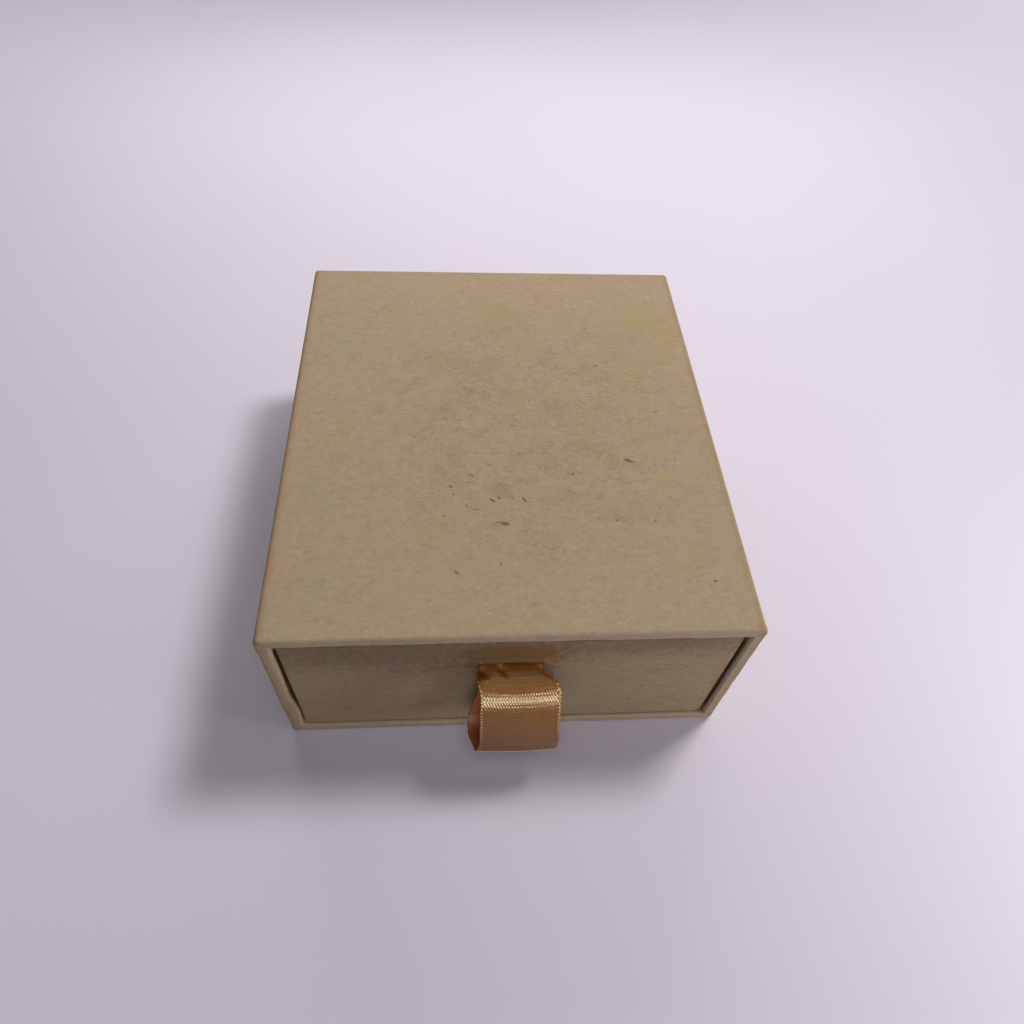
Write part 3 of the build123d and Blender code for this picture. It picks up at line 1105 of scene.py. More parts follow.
# --------------------------------------------------------------------------- the sleeve
@dataclass
class PaperSleeve:
    """The outer sleeve: boards, lining and sheets as loaded, and the wrap as a folded sheet."""

    width: float = 90.0
    depth: float = 104.0
    height: float = 40.0
    wall: float = 2.5
    fold_r: float = 1.0                 # the four long folds
    edge_r: float = 0.6                 # the front rim's and the back's outer edges
    rim_r: float = 0.7                  # the front rim's inner edge
    turn_in: float = 15.0
    lap: float = 14.0
    paper: float = 0.22
    even_x: float = 37.0                # columns are evenly spaced up to here
    even_z: float = 13.0
    ripple: float = 0.05                # waves along the rim, and finer ones on them
    fine_ripple: float = 0.03
    groove: float = 0.18                # mitres on the rim's diagonals
    proud: float = 0.05                 # paper folded thick at the rim's corners
    slack: float = 0.3                  # loose paper on the left inner wall
    bow: float = 0.1                    # top edge back and underside up, in their middles

    def grid(self) -> np.ndarray:
        """The wrap's outer surface: the profile over the rim, carried round the tube.

        Returns:
            Grid of points in mm, rows along the profile and columns round the tube.
        """
        window_x, window_y = self.width / 2 - self.lap, self.depth / 2 - self.lap
        middle = self.depth / 2
        profile = WrapProfile.over(
            self.wall, self.turn_in, self.rim_r, self.edge_r, self.depth, self.edge_r, self.lap,
            inside_stops=np.concatenate([steps(self.rim_r + 0.4, 4.0, 0.6),
                                         steps(5.5, self.turn_in - 1.0, 1.5)]),
            outside_stops=merged(
                steps(self.edge_r + 0.4, 8.0, 0.8), steps(8.0, middle - window_y, 2.0),
                steps(middle - window_y, middle + window_y, 2.0),
                steps(middle + window_y, self.depth - self.edge_r - 0.5, 2.0)))
        columns = RingColumns.around(
            x_stops=np.concatenate([steps(-self.even_x, -window_x, 2.0),
                                    steps(-window_x, window_x, 1.8)[1:-1],
                                    steps(window_x, self.even_x, 2.0)]),
            v_stops=steps(-self.even_z, self.even_z, 1.3),
            near_corner=np.array([0.25, 0.6, 1.1, 1.8, 2.8, 4.0]), arc_steps=6)
        half = np.stack([self.width / 2 - profile.inset, self.height / 2 - profile.inset], axis=1)
        radius = np.maximum(self.fold_r - profile.inset, 0.12)
        ring = columns.place(half, radius, profile.lap)
        y = np.broadcast_to(profile.depth[:, None] - self.depth / 2, ring.shape[:2])
        return np.stack([ring[..., 0], y, ring[..., 1] + self.height / 2], axis=-1)

    def soften(self, points: np.ndarray) -> np.ndarray:
        """Moves the surface as glued paper lies: slack at the rim, folded thick at its corners.

        Each point moves along its normal by the sum of waves along the rim, a groove on the
        rim's four diagonals, the folded paper that stands proud of the corners, and a hollow
        halfway up the left inner wall with slack paper below it. The top edge draws back a
        little in its middle, and the underside lifts there, which leaves a foot at each corner.
        Then everything is held inside the box's own outline.

        Args:
            points: The wrap's grid in mm.

        Returns:
            The moved grid.
        """
        normal = normals_of(points)
        x, y, z = points[..., 0], points[..., 1], points[..., 2] - self.height / 2
        front = -self.depth / 2
        near_rim = hill(np.maximum(y - front, 0.0), 1.6)
        over = np.abs(x) - self.width / 2       # in from the side, and from the top or underside
        up = np.abs(z) - self.height / 2
        at_corner = ease(-np.maximum(over, up), 3.4, 0.6) * ease(np.minimum(-over, -up), 4.6, 3.0)
        mitre = hill(np.abs(over - up), 0.24) * near_rim * at_corner
        thick = ease(-np.hypot(over + 1.0, up + 1.0), -3.2, -0.8) * near_rim
        loose = hill(x + (self.width / 2 - self.wall), 0.5) * hill(y - front - 1.4, 1.8)
        loose = loose * (1.6 * hill(z + 11.0, 4.5) - 0.7 * hill(z + 1.5, 4.5))
        move = self.ripple * Unevenness(9.0, 3).at(points) * near_rim
        move += self.fine_ripple * Unevenness(3.5, 4).at(points) * near_rim
        move += -self.groove * mitre + self.proud * thick + self.slack * loose
        softened = points + normal * move[..., None]
        midway = ease(-np.abs(x), -self.width / 2, -12.0)
        softened[..., 1] += self.bow * midway * ease(z, 15.0, 17.6) * near_rim
        softened[..., 2] += self.bow * midway * ease(-z, 17.6, 19.9) * near_rim
        half = np.array([self.width / 2, self.depth / 2, self.height / 2])
        middle = np.array([0.0, 0.0, self.height / 2])
        return np.clip(softened, middle - half, middle + half)

    def window(self, points: np.ndarray) -> np.ndarray:
        """Flags the quads of the window in the underside that the closing sheet fills.

        Args:
            points: The wrap's grid in mm.

        Returns:
            One flag for each quad.
        """
        centre = quad_centres(points)
        inside_x = np.abs(centre[:, 0]) < self.width / 2 - self.lap
        inside_y = np.abs(centre[:, 1]) < self.depth / 2 - self.lap
        return inside_x & inside_y & (centre[:, 2] < 0.5)

    def build(self, frame: dict) -> None:
        """Makes the wrap, and finishes the sleeve's loaded nodes.
        """
        paper = KraftPaper(
            "kraft_wrap_sleeve", worn_edge=self.width / 2, hazy=(6.0, -2.0, self.height),
            sallow=(38.0, 34.0, self.height), flecked=(0.0, -20.0, self.height),
            mouth=(self.width / 2 - self.wall, self.height / 2, -self.depth / 2),
            marks=top_marks(self.height)).make()
        flat = self.grid()
        points = self.soften(flat)
        wrap = make_piece("sleeve_paper_wrap", points, paper, closed=True,
                          drop=self.window(flat), thickness=self.paper)
        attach(wrap, Body.SLEEVE.value)
        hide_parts("sleeve_wrap")
        log.info("sleeve wrap: %d points", len(wrap.data.vertices))
        board, tape = Greyboard().make(), GummedTape().make()
        lining = KraftPaper("kraft_lining_sleeve", shift=(31.0, 7.0, 50.0)).make()
        sheet = KraftPaper("kraft_sheet_sleeve", shift=(80.0, 12.0, 9.0)).make()
        dress(frame, board, [f"sleeve_{side}_board" for side in
                             ("top", "bottom", "left", "right", "back")])
        dress(frame, tape, ["sleeve_seam_tape"])
        dress(frame, lining, ["sleeve_lining"])
        dress(frame, sheet, ["sleeve_base_paper", "sleeve_back_paper"])


def top_marks(height: float) -> MarkedFace:
    """The flecks, stains and smudges that stand out on the sleeve's top.

    Args:
        height: Where the top is, in mm.

    Returns:
        The marks.
    """
    flecks = (
        Mark(25.6, -11.9, 2.3, 0.75, -26), Mark(-0.9, -27.7, 1.9, 0.9, -14),
        Mark(-2.1, -27.4, 1.3, 0.4, 6, 0.6), Mark(-3.1, -22.0, 1.5, 0.55, -38),
        Mark(-1.8, -21.4, 0.8, 0.5, -10), Mark(3.2, -21.9, 1.6, 0.5, -58),
        Mark(13.5, -15.5, 0.8, 0.7, 20, 0.6), Mark(-11.3, -18.4, 1.0, 0.45, -50),
        Mark(-10.8, -20.4, 0.5, 0.45), Mark(-15.0, -20.2, 0.45, 0.4, 0, 0.7),
        Mark(-8.2, -23.2, 0.45, 0.4), Mark(-12.6, -25.6, 0.5, 0.42),
        Mark(-6.4, -24.2, 1.6, 0.4, 4, 0.45), Mark(-10.3, -38.6, 1.3, 0.45, -48, 0.7),
        Mark(-2.1, -37.0, 1.0, 0.4, 60, 0.5), Mark(21.0, -27.2, 0.7, 0.45, 0, 0.6),
        Mark(28.5, -27.4, 0.9, 0.4, 30, 0.5), Mark(28.0, -15.1, 0.7, 0.35, -50, 0.4),
        Mark(-7.2, -15.6, 1.8, 0.45, -24, 0.55), Mark(-3.6, -12.7, 1.6, 0.4, 0, 0.4),
        Mark(37.5, -41.4, 0.6, 0.55, 0, 0.9), Mark(-18.6, -5.0, 0.4, 0.4, 0, 0.7),
        Mark(33.7, 2.3, 1.3, 0.6, 25, 0.5), Mark(22.0, 16.8, 1.6, 0.6, 20, 0.45),
    )
    stains_and_glow = (
        Mark(-33.3, 46.7, 2.6, 2.6), Mark(-1.0, 36.0, 7.0, 9.5, 10), Mark(6.6, 32.0, 2.4, 2.6),
        Mark(13.8, 29.6, 3.2, 2.6), Mark(15.6, 48.8, 3.6, 2.6), Mark(-26.2, 33.6, 1.6, 2.4),
        Mark(-15.0, 19.6, 1.5, 2.2), Mark(2.7, 6.4, 3.0, 2.8), Mark(4.0, 2.2, 2.8, 2.0),
        Mark(24.0, 20.5, 4.2, 2.2, 55), Mark(26.6, 11.0, 3.4, 2.2), Mark(30.8, 5.0, 1.8, 7.0),
        Mark(29.2, -3.6, 4.5, 4.0), Mark(31.6, -7.5, 2.6, 8.0), Mark(32.0, -16.6, 3.6, 2.6, -30),
        Mark(24.0, -10.2, 3.0, 2.2, -30), Mark(38.0, 19.0, 6.5, 5.0, 20),
        Mark(34.0, 32.0, 14.0, 7.0, 0), Mark(-32.7, -35.4, 2.6, 2.0), Mark(34.2, -35.4, 1.6, 3.0),
    )
    smudges_and_shade = (
        Mark(-15.6, 20.6, 7.0, 5.5, 0, 0.4), Mark(-18.6, 11.6, 5.0, 3.4, 20, 0.45),
        Mark(-3.6, 7.0, 3.0, 3.4, 0, 0.5), Mark(-11.6, 2.4, 3.6, 3.0, 0, 0.45),
        Mark(-26.6, 2.8, 2.6, 3.4, 0, 0.4), Mark(10.4, 41.8, 2.2, 2.8, 0, 0.6),
        Mark(15.6, -8.0, 7.0, 5.0, 0, 0.35), Mark(5.6, -9.0, 8.0, 2.0, 18, 0.35),
        Mark(6.4, -33.4, 7.0, 8.0, 0, 0.4), Mark(-8.6, -34.6, 3.4, 2.8, 0, 0.5),
        Mark(24.0, -26.4, 5.0, 2.6, 0, 0.35), Mark(37.6, 18.0, 3.4, 2.2, 0, 0.4),
        Mark(33.4, -40.6, 4.0, 0.8, 12, 0.5),
    )
    return MarkedFace(Face.TOP, height, flecks, stains_and_glow, smudges_and_shade)


def dress(frame: dict, material: bpy.types.Material, nodes: list[str]) -> None:
    """Gives loaded nodes a finish.

    Args:
        material: The finish.
        nodes: Names of the nodes.
    """
    for name in nodes:
        node = frame["nodes"][name]
        node.data.materials.clear()
        node.data.materials.append(material)
        log.info("%s: %s", name, material.name)


# --------------------------------------------------------------------------- the drawer
@dataclass
class TrayDrawer:
    """The drawer: boards, lining and sheet as loaded, and the wrap as a folded sheet."""

    width: float = 84.0
    depth: float = 100.4
    bottom: float = 2.7
    top: float = 36.7
    front: float = -51.4
    wall: float = 2.5
    edge_r: float = 0.6
    rim_r: float = 0.6
    turn_in: float = 20.0
    lap: float = 10.0
    slot_low_x: float = -6.4
    slot_high_x: float = 5.4
    slot_low_z: float = 27.9
    slot_high_z: float = 29.3
    paper: float = 0.22
    even_x: float = 35.0                # columns are evenly spaced up to here
    even_y: float = 43.0
    lip: float = 0.32                   # paper raised over the slot, and drawn in under it
    sag: float = 0.05
    swell: float = 0.05                 # long waves on the front
    ripple: float = 0.04                # waves along the rim

    def grid(self) -> np.ndarray:
        """The wrap's outer surface: the profile over the rim, carried round the tray.

        Returns:
            Grid of points in mm, rows along the profile and columns round the tray.
        """
        slot_top, slot_foot = self.top - self.slot_high_z, self.top - self.slot_low_z
        near_slot = np.concatenate([steps(slot_top - 2.4, slot_top, 0.3),
                                    steps(slot_top, slot_foot, 0.35),
                                    steps(slot_foot, slot_foot + 1.5, 0.3)])
        first, last = near_slot.min(), near_slot.max()
        length = self.top - self.bottom
        profile = WrapProfile.over(
            self.wall, self.turn_in, self.rim_r, self.edge_r, length, self.edge_r, self.lap,
            inside_stops=merged(steps(self.rim_r + 0.4, first, 1.0), near_slot,
                                steps(last, self.turn_in - 1.0, 1.5)),
            outside_stops=merged(steps(self.edge_r + 0.4, first, 1.0), near_slot,
                                 steps(last, length - self.edge_r - 0.4, 1.5)))
        left, right = self.slot_low_x, self.slot_high_x
        x_stops = merged(steps(-self.even_x, left - 1.5, 1.8), steps(left - 1.5, left, 0.3),
                         steps(left, right, 0.6), steps(right, right + 1.5, 0.3),
                         steps(right + 1.5, self.even_x, 1.8))
        columns = RingColumns.around(x_stops, steps(-self.even_y, self.even_y, 2.2),
                                     np.array([0.3, 0.7, 1.3, 2.2, 3.5]), arc_steps=5)
        half = np.stack([self.width / 2 - profile.inset, self.depth / 2 - profile.inset], axis=1)
        radius = np.maximum(self.edge_r - profile.inset, 0.12)
        ring = columns.place(half, radius, profile.lap)
        z = np.broadcast_to(self.top - profile.depth[:, None], ring.shape[:2])
        middle = self.front + self.depth / 2
        return np.stack([ring[..., 0], ring[..., 1] + middle, z], axis=-1)

    def soften(self, points: np.ndarray) -> np.ndarray:
        """Moves the surface as glued paper lies: a lip over the slot, slight waves on the front.

        Each point moves along its normal by the sum of long waves on the front, a raised lip
        along the slot's upper edge that fades with the square of the distance, and a faint
        waviness along the rim.

        Args:
            points: The wrap's grid in mm.

        Returns:
            The moved grid.
        """
        normal = normals_of(points)
        x, y, z = points[..., 0], points[..., 1], points[..., 2]
        on_front = ease(-(y - self.front), -0.3, -0.05)
        at_slot = ease(x, self.slot_low_x - 1.2, self.slot_low_x + 1.5)
        at_slot = at_slot * ease(-x, -self.slot_high_x - 1.2, -self.slot_high_x + 1.5)
        over = at_slot * hill(z - self.slot_high_z - 0.15, 0.85) * (z > self.slot_high_z - 0.4)
        under = at_slot * hill(z - self.slot_low_z, 0.6) * (z < self.slot_low_z + 0.4)
        waves = Unevenness(26.0, 11).at(points)
        move = on_front * (self.lip * over - self.sag * under + self.swell * waves)
        near_rim = hill(self.top - z, 1.5)
        move += self.ripple * Unevenness(8.0, 12).at(points) * near_rim
        return points + normal * move[..., None]

    def slot(self, points: np.ndarray) -> np.ndarray:
        """Flags the quads of the slot, in the sheet's outer and inner run over the front.

        Args:
            points: The wrap's grid in mm.

        Returns:
            One flag for each quad.
        """
        centre = quad_centres(points)
        in_x = (centre[:, 0] > self.slot_low_x) & (centre[:, 0] < self.slot_high_x)
        in_z = (centre[:, 2] > self.slot_low_z) & (centre[:, 2] < self.slot_high_z)
        return in_x & in_z & (centre[:, 1] < self.front + 2 * self.wall)

    def build(self, frame: dict) -> None:
        """Makes the wrap, and finishes the drawer's loaded nodes.
        """
        marks = MarkedFace(
            Face.FRONT, self.front, patchy=(0.75, 1.0), flecks=(Mark(25.0, 10.1, 0.8, 0.7),),
            # painted warm glow above the slot: light reflected from the ribbon
            stains_and_glow=(Mark(-0.6, self.slot_high_z + 2.6, 22.0, 11.0, 0, 1.0),),
            # painted shade under the lid on the drawer front, darkest at the upper left
            smudges_and_shade=(Mark(-30.0, 31.0, 20.0, 9.0, -6, 0.55), Mark(-17.0, 33.0, 20.0, 8.0, 0, 0.5),
                     Mark(-23.0, 35.0, 60.0, 18.0, 0, 0.75), Mark(22.0, 37.0, 56.0, 14.0, 0, 0.6)))
        # painted shade: the sleeve's kraft made darker and warmer, to the shaded front face's tone
        paper = KraftPaper(
            "kraft_wrap_drawer", tan=from_srgb(150, 128.5, 100), rosy=from_srgb(152, 128, 100),
            cool=from_srgb(147, 128, 100), yellow=from_srgb(146, 123, 88),
            brown=from_srgb(115, 92, 66), pale=from_srgb(170, 150, 117),
            smudge_and_shade=from_srgb(88, 70, 54), stain_and_glow=from_srgb(122, 87, 40),
            shift=(13.0, 41.0, 77.0), marks=marks).make()
        flat = self.grid()
        wrap = make_piece("drawer_paper_wrap", self.soften(flat), paper, closed=True,
                          drop=self.slot(flat), thickness=self.paper)
        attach(wrap, Body.DRAWER.value)
        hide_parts("drawer_wrap")
        log.info("drawer wrap: %d points", len(wrap.data.vertices))
        board = Greyboard("greyboard_drawer").make()
        tape = GummedTape("gummed_tape_drawer").make()
        lining = KraftPaper("kraft_lining_drawer", shift=(5.0, 90.0, 20.0)).make()
        sheet = KraftPaper("kraft_sheet_drawer", shift=(44.0, 3.0, 61.0)).make()
        dress(frame, board, [f"drawer_{side}_board" for side in
                             ("base", "front", "back", "left", "right")])
        dress(frame, tape, [f"drawer_{end}_{side}_tape" for end in ("front", "back")
                            for side in ("left", "right")])
        dress(frame, lining, ["drawer_lining"])
        dress(frame, sheet, ["drawer_base_paper"])


# --------------------------------------------------------------------------- the ribbon
def rounded_route(corners: np.ndarray, radii: np.ndarray, pitch: float) -> np.ndarray:
    """Points along straight runs joined by arcs that touch them.

    At each corner the arc meets both runs at radius * tan(half the turn) from the corner.

    Args:
        corners: Corner points, shape (n, 2).
        radii: Bend radius at each inner corner.
        pitch: Largest distance between points.

    Returns:
        Points along the route, shape (m, 2).
    """
    pieces = []
    last = corners[0]
    for before, corner, after, radius in zip(corners, corners[1:], corners[2:], radii):
        way_in = (corner - before) / np.linalg.norm(corner - before)
        way_out = (after - corner) / np.linalg.norm(after - corner)
        side = math.copysign(1.0, way_in[0] * way_out[1] - way_in[1] * way_out[0])
        turn = math.acos(float(np.clip(way_in @ way_out, -1, 1)))
        start = corner - way_in * radius * math.tan(turn / 2)
        centre = start + side * radius * np.array([-way_in[1], way_in[0]])
        share = steps(0.0, turn, min(pitch / radius, 0.3))
        first = start - centre
        cos, sin = np.cos(side * share), np.sin(side * share)
        arc = centre + np.stack([cos * first[0] - sin * first[1],
                                 sin * first[0] + cos * first[1]], axis=1)
        run = steps(0.0, float(np.linalg.norm(start - last)), pitch)[:, None]
        pieces.append(last + way_in * run[:-1])
        pieces.append(arc[:-1])
        last = arc[-1]
    way = (corners[-1] - last) / np.linalg.norm(corners[-1] - last)
    run = steps(0.0, float(np.linalg.norm(corners[-1] - last)), pitch)[:, None]
    pieces.append(last + way * run)
    return np.concatenate(pieces)


@dataclass
class RibbonPull:
    """The satin pull: one strip, a loop outside the drawer front and two glued ends inside."""

    width: float = 15.0
    thickness: float = 0.3
    shift: float = 1.2                  # middle of the loop
    neck_low: float = -6.2              # ribbon's edges in the slot
    neck_high: float = 5.2
    slot_z: float = 28.6
    face: float = -51.4                 # drawer front, outside and inside
    inner: float = -48.9
    layer: float = 0.3                  # each layer's middle from the slot's middle
    crest_out: float = 6.0
    crest_r: float = 7.5
    belly_out: float = 9.6              # fullest part of the front layer
    belly_drop: float = 10.0
    belly_r: float = 30.0
    fold_out: float = 10.22
    fold_drop: float = 18.5
    fold_r: float = 0.6
    heel_out: float = 3.2
    heel_drop: float = 18.3
    heel_r: float = 3.0
    back_out: float = 1.6
    back_r: float = 0.9
    tail_len: float = 15.0
    flare: float = 6.4                  # run from the slot to full width
    pitch: float = 0.35                 # largest distance between rows
    columns: int = 72
    left_bend: float = 80.0             # how far the edges turn down at the slot, in degrees
    right_bend: float = 115.0
    pleats: tuple[tuple[float, float, float], ...] = (      # place across, width and drop
        (-6.2, 1.0, 1.1), (-2.2, 0.7, 0.5), (5.9, 0.8, 1.0))
    fold_front: float = 0.65            # from the lowest point back to the fold's front
    slant: float = 0.2                  # how far a pleat moves across for each mm from the slot
    cup: float = 0.28                   # front layer's edges, behind its middle
    bow: float = 2.1                    # back layer, to the left
    ripple: float = 0.05

    def route(self) -> np.ndarray:
        """The strip's middle line, from one glued end round the loop to the other.

        Returns:
            Points in (y, z), in mm.
        """
        near, far = self.inner + 0.3, self.inner + 0.9
        upper, lower = self.slot_z + self.layer, self.slot_z - self.layer
        end = self.slot_z - self.tail_len
        corners = np.array([
            (far, end), (far, upper), (self.face - self.crest_out, upper),
            (self.face - self.belly_out, self.slot_z - self.belly_drop),
            (self.face - self.fold_out, self.slot_z - self.fold_drop),
            (self.face - self.heel_out, self.slot_z - self.heel_drop),
            (self.face - self.back_out, lower), (near, lower), (near, end)])
        radii = np.array([1.0, self.crest_r, self.belly_r, self.fold_r, self.heel_r, self.back_r,
                          0.4])
        return rounded_route(corners, radii, self.pitch)

    def surface(self) -> tuple[np.ndarray, np.ndarray, float]:
        """The cloth's middle surface, its flat map and where along it the fold's front lies.

        A point is the route's point at its run, moved along x by where it lies across the strip,
        and along the route's outward normal by its fold. Towards the slot the strip is gathered:
        its flat middle narrows, each edge turns down round a small arc, by an angle that grows
        towards the slot, and small pleats drop away in front of it. The back layer bows to the
        left, and the ends of the bottom fold are rounded.

        Returns:
            Grid of points in mm, grid of flat coordinates in mm, and a run in mm.
        """
        line = self.route()
        run = np.concatenate([[0.0], np.cumsum(np.linalg.norm(np.diff(line, axis=0), axis=1))])
        ahead = np.gradient(line, axis=0)
        ahead /= np.linalg.norm(ahead, axis=1, keepdims=True)
        outward = np.stack([ahead[:, 1], -ahead[:, 0]], axis=1)

        above_ends = line[:, 1] > self.slot_z - 3.6
        in_slot = (line[:, 0] > self.face) & (line[:, 0] < self.inner) & above_ends
        distance = np.abs(run[:, None] - run[in_slot][None, :]).min(axis=1)
        gather = 1.0 - ease(distance, 0.0, self.flare)
        outside = line[:, 0] < self.face
        front = outside & (run < run[in_slot].mean())       # crest and front layer

        # the strip's two sides along the run, and each point's place across it, before folding
        half = self.width / 2
        across = np.linspace(-half, half, self.columns)
        low, high = self.shift - half, self.shift + half
        left = low + (self.neck_low - low) * gather
        right = high + (self.neck_high - high) * gather
        middle, reach = (left + right) / 2, (right - left) / 2
        u = across[None, :] * np.where(front[:, None], 1.0, (reach / half)[:, None])

        # the edges turn down round a small arc where the strip is gathered
        greatest = np.where(u < 0, math.radians(self.left_bend), math.radians(self.right_bend))
        bend = np.where(front, gather, 0.0)[:, None] * greatest
        radius = (0.3 + 0.65 * ease(distance, 0.2, 3.5))[:, None]
        flat_half = reach[:, None] - radius * np.sin(np.minimum(bend, math.pi / 2))
        over = np.maximum(np.abs(u) - flat_half, 0.0)
        angle = np.minimum(over / radius, bend)
        rest = np.maximum(over - radius * bend, 0.0)
        x = np.sign(u) * (np.minimum(np.abs(u), flat_half)
                          + radius * np.sin(angle) + rest * np.cos(bend)) + middle[:, None]
        fold = -(radius * (1 - np.cos(angle)) + rest * np.sin(bend))

        # pleats at the slot, the front layer's cupped edges and faint waves
        near = np.where(outside, distance, FAR_OFF)[:, None]
        dip = ease(near, 0.0, 1.3) * np.where(front[:, None], ease(-near, -3.4, -1.2),
                                              -ease(-near, -2.2, -1.4))
        for place, width, drop in self.pleats:
            fold = fold - drop * dip * hill(u - place - self.slant * near, width)
        cupped = np.where(front, ease(distance, 2.0, 9.0), 0.0)[:, None]
        fold = fold - self.cup * cupped * (u / half) ** 2
        wave = Unevenness(5.0, 21).at(np.stack([u * 0.7, run[:, None] + 0 * u, 0 * u], -1))
        fold = fold + self.ripple * wave * ease(distance, 0.5, 4.0)[:, None]

        # the back layer bows to the left, and the bottom fold's ends are rounded
        lowest = float(run[np.argmin(line[:, 1] + 0.2 * line[:, 0])])
        past = (run - lowest)[:, None]
        x = x - self.bow * ease(past, -0.5, 4.0) * ease(-past, -20.0, -5.0)
        x = x - 0.75 * hill(past, 2.2) * ease(-u, 2.0, half)
        x = x - 0.4 * hill(past, 1.2) * (np.maximum(u, 0.0) / half) ** 5
        x = x + 0.4 * hill(past + 5.0, 4.0) * ease(u, 2.0, half)

        y = line[:, None, 0] + outward[:, None, 0] * fold
        z = line[:, None, 1] + outward[:, None, 1] * fold
        flat = np.stack([np.broadcast_to(across, x.shape),
                         np.broadcast_to(run[:, None], x.shape)], axis=-1)
        return np.stack([x, y, z], axis=-1), flat, lowest - self.fold_front

    def build(self) -> None:
        """Makes the ribbon, fixes it to the drawer and hides the loaded one."""
        points, flat, crease = self.surface()
        satin = SatinRibbon(crease=crease)
        ribbon = make_piece("satin_ribbon_pull", points, satin.make(), flat_map=flat,
                            thickness=self.thickness, side=0.0, back=satin.make_back())
        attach(ribbon, Body.DRAWER.value)
        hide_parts("pull_ribbon")


@dataclass
class RibbonPatch:
    """The paper patch glued over the ribbon's ends, inside the drawer front."""

    middle: float = 1.2
    half_width: float = 13.0
    low: float = 12.6
    high: float = 24.6
    wall_y: float = -48.9
    lining: float = 0.24                # from the wall to the patch's wings
    stack: float = 1.12                 # the two ribbon ends under the patch
    ribbon_half: float = 7.7            # half width of the raised part, and where it ends
    slope_half: float = 9.1
    ripple: float = 0.05
    paper: float = 0.2

    def build(self) -> None:
        """Makes the patch: flat wings on the lining that rise smoothly over the ribbon."""
        x = np.linspace(-self.half_width, self.half_width, 80)[None, :]
        z = np.linspace(self.low, self.high, 25)[:, None]
        rise = ease(-np.abs(x), -self.slope_half, -self.ribbon_half) * self.stack
        y = self.wall_y + self.lining + rise
        grid = np.stack(np.broadcast_arrays(x + self.middle, y, z), axis=-1)
        held = ease(-np.abs(grid[..., 0] - self.middle), -12.0, -8.0)
        grid[..., 1] += self.ripple * Unevenness(7.0, 31).at(grid) * held
        paper = KraftPaper("kraft_patch", shift=(3.0, 3.0, 3.0)).make()
        patch = make_piece("ribbon_patch", grid, paper, thickness=self.paper, side=0.0)
        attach(patch, Body.DRAWER.value)
        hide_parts("ribbon_anchor_patch")
        log.info("ribbon patch")


# --------------------------------------------------------------------------- studio and camera
@dataclass(frozen=True)
class SoftLight:
    """A rectangular lamp: where it stands and looks, its size, its power and its colour."""

    name: str
    place: Place                        # metres, as the next two are
    aim: Place
    size: tuple[float, float]
    power: float
    colour: Colour = (1.0, 1.0, 1.0)
    gloss_only: bool = False            # shows in gloss and adds nothing to the light level

    def build(self) -> None:
        """Makes the lamp."""
        data = bpy.data.lights.new(self.name, "AREA")
        data.shape = "RECTANGLE"
        data.size, data.size_y = self.size
        data.energy = self.power
        data.color = self.colour
        lamp = bpy.data.objects.new(self.name, data)
        lamp.visible_diffuse = not self.gloss_only
        way = Vector(self.aim) - Vector(self.place)
        turn = way.to_track_quat("-Z", "Y").to_matrix().to_4x4()
        lamp.matrix_world = Matrix.Translation(self.place) @ turn
        bpy.context.scene.collection.objects.link(lamp)


LAMPS = (
    # above, to the right and behind
    SoftLight("key", (0.30, 0.17, 0.64), (0.0, -0.03, 0.03), (0.16, 0.16), 3.16,
              (1.0, 0.98, 0.95)),
    SoftLight("back", (0.0, 0.27, 0.2), (0.0, 0.0, 0.03), (0.4, 0.14), 0.53, (1.0, 0.99, 0.97)),
    # high and low in front, and the one that gives the satin its bright band
    SoftLight("front_top", (0.0, -0.25, 0.6), (0.0, -0.03, 0.03), (0.3, 0.3), 0.6),
    SoftLight("front_strip", (0.05, -0.66, 0.15), (0.0, -0.05, 0.02), (0.34, 0.1), 0.52,
              (0.94, 0.95, 1.0)),
    SoftLight("front_gloss", (0.05, -0.66, 0.15), (0.0, -0.05, 0.02), (0.3, 0.2), 6.6,
              (0.82, 0.83, 1.0), gloss_only=True),
    # low, at the front's right end
    SoftLight("right_fill", (0.24, -0.125, 0.035), (0.0, -0.05, 0.02), (0.05, 0.05), 0.34,
              (0.96, 0.96, 1.0)),
)


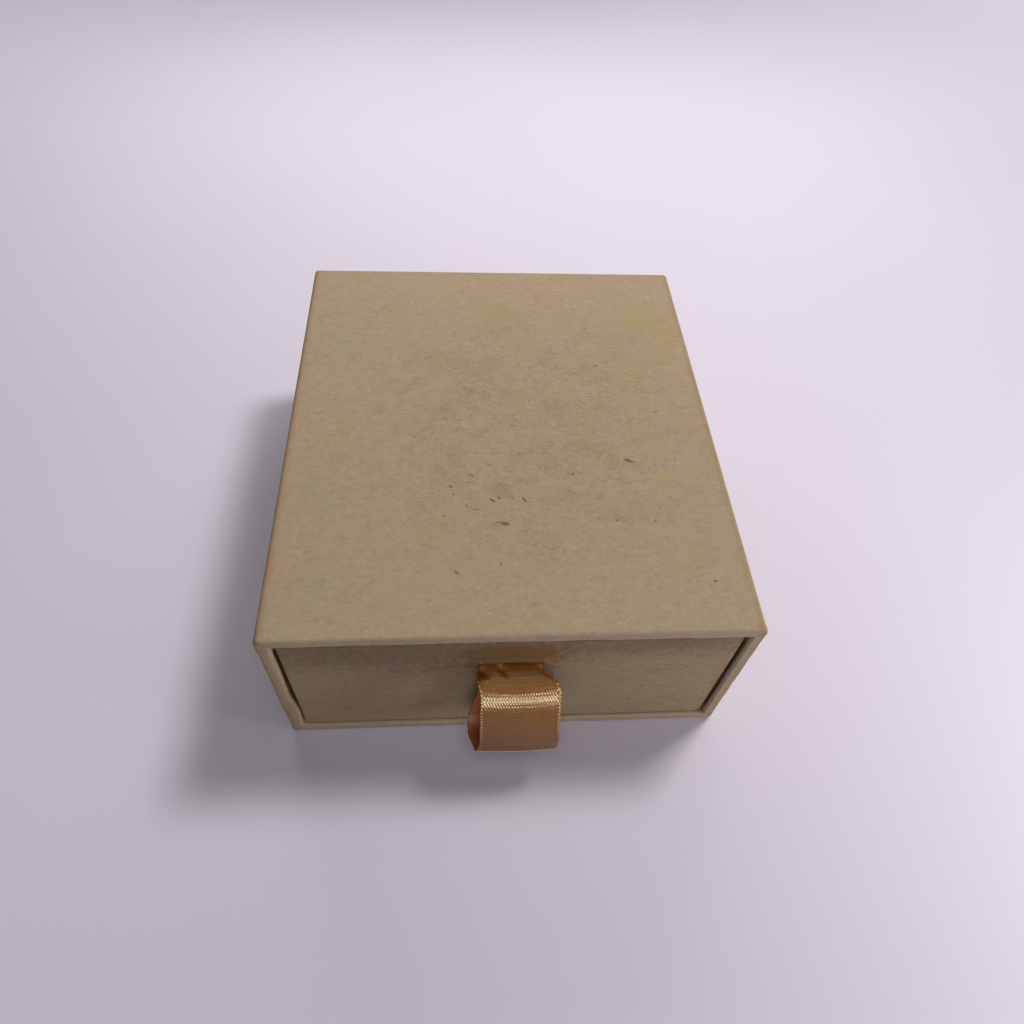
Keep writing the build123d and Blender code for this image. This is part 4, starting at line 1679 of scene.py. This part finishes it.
@dataclass
class Studio:
    """Pale floor, soft lamps, dim sky and the camera at the photograph's angle."""

    camera_place: Place = (-0.010359, -0.112501, 0.156644)      # metres
    pitch_degrees: float = 52.880
    azimuth_degrees: float = 7.112
    roll_degrees: float = 5.085
    lens: float = 26.424                # mm, on a sensor 36 mm wide
    floor_half: float = 1.6             # metres, as the next four are
    floor_rise: float = 0.25
    rise_from: float = 1.2
    rise_to: float = 2.2
    floor_gap: float = 0.00002          # between the floor and the box
    sky: Colour = (1.0, 0.99, 0.97)
    sky_strength: float = 0.04
    seen_sky_strength: float = 0.6      # as seen by the camera and in gloss

    def floor(self) -> None:
        """A large sheet that the box lies on, rising a little at its far edges.

        Its height is a smooth step of the distance from the middle.
        """
        reach = np.linspace(-self.floor_half, self.floor_half, 41)
        x, y = np.meshgrid(reach, reach)
        z = self.floor_rise * ease(np.hypot(x, y), self.rise_from, self.rise_to) - self.floor_gap
        grid = np.stack([x, y, z], axis=-1)[::-1] / MM
        sheet = make_piece("floor", grid, StudioPaper().make())

    def world(self) -> None:
        """A dim, even sky that is paler where the camera or a glossy surface sees it."""
        world = bpy.data.worlds.new("sky")
        world.use_nodes = True
        tree = world.node_tree
        background = tree.nodes["Background"]
        background.inputs["Color"].default_value = (*self.sky, 1.0)
        path = tree.nodes.new("ShaderNodeLightPath").outputs
        seen, clear = tree.nodes.new("ShaderNodeMath"), tree.nodes.new("ShaderNodeMath")
        seen.operation = clear.operation = "MAXIMUM"
        strength = tree.nodes.new("ShaderNodeMapRange")
        strength.inputs["To Min"].default_value = self.sky_strength
        strength.inputs["To Max"].default_value = self.seen_sky_strength
        for output, socket in (
            (path["Is Camera Ray"], seen.inputs[0]), (path["Is Glossy Ray"], seen.inputs[1]),
            (seen.outputs[0], clear.inputs[0]), (path["Is Transmission Ray"], clear.inputs[1]),
            (clear.outputs[0], strength.inputs["Value"]),
            (strength.outputs[0], background.inputs["Strength"]),
        ):
            tree.links.new(output, socket)
        bpy.context.scene.world = world

    def camera(self) -> None:
        """The camera: turned to its azimuth, tipped down by its pitch and rolled."""
        data = bpy.data.cameras.new("camera")
        data.lens = self.lens
        data.sensor_width = 36.0
        data.clip_start = 0.005
        camera = bpy.data.objects.new("camera", data)
        turn = Matrix.Rotation(-math.radians(self.azimuth_degrees), 4, "Z")
        tip = Matrix.Rotation(math.radians(90.0 - self.pitch_degrees), 4, "X")
        roll = Matrix.Rotation(math.radians(self.roll_degrees), 4, "Z")
        camera.matrix_world = Matrix.Translation(self.camera_place) @ turn @ tip @ roll
        bpy.context.scene.collection.objects.link(camera)
        bpy.context.scene.camera = camera

    def build(self) -> None:
        """Makes the floor, lamps, sky and camera."""
        self.floor()
        for lamp in LAMPS:
            lamp.build()
        self.world()
        self.camera()
        bpy.context.scene.view_settings.view_transform = "Standard"


def main() -> None:
    """Loads the model, dresses it and sets the studio."""
    logging.basicConfig(level=logging.INFO, format="%(name)s: %(message)s")
    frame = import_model()
    PaperSleeve().build(frame)
    TrayDrawer().build(frame)
    RibbonPull().build()
    RibbonPatch().build()
    Studio().build()


if __name__ == "__main__":
    main()
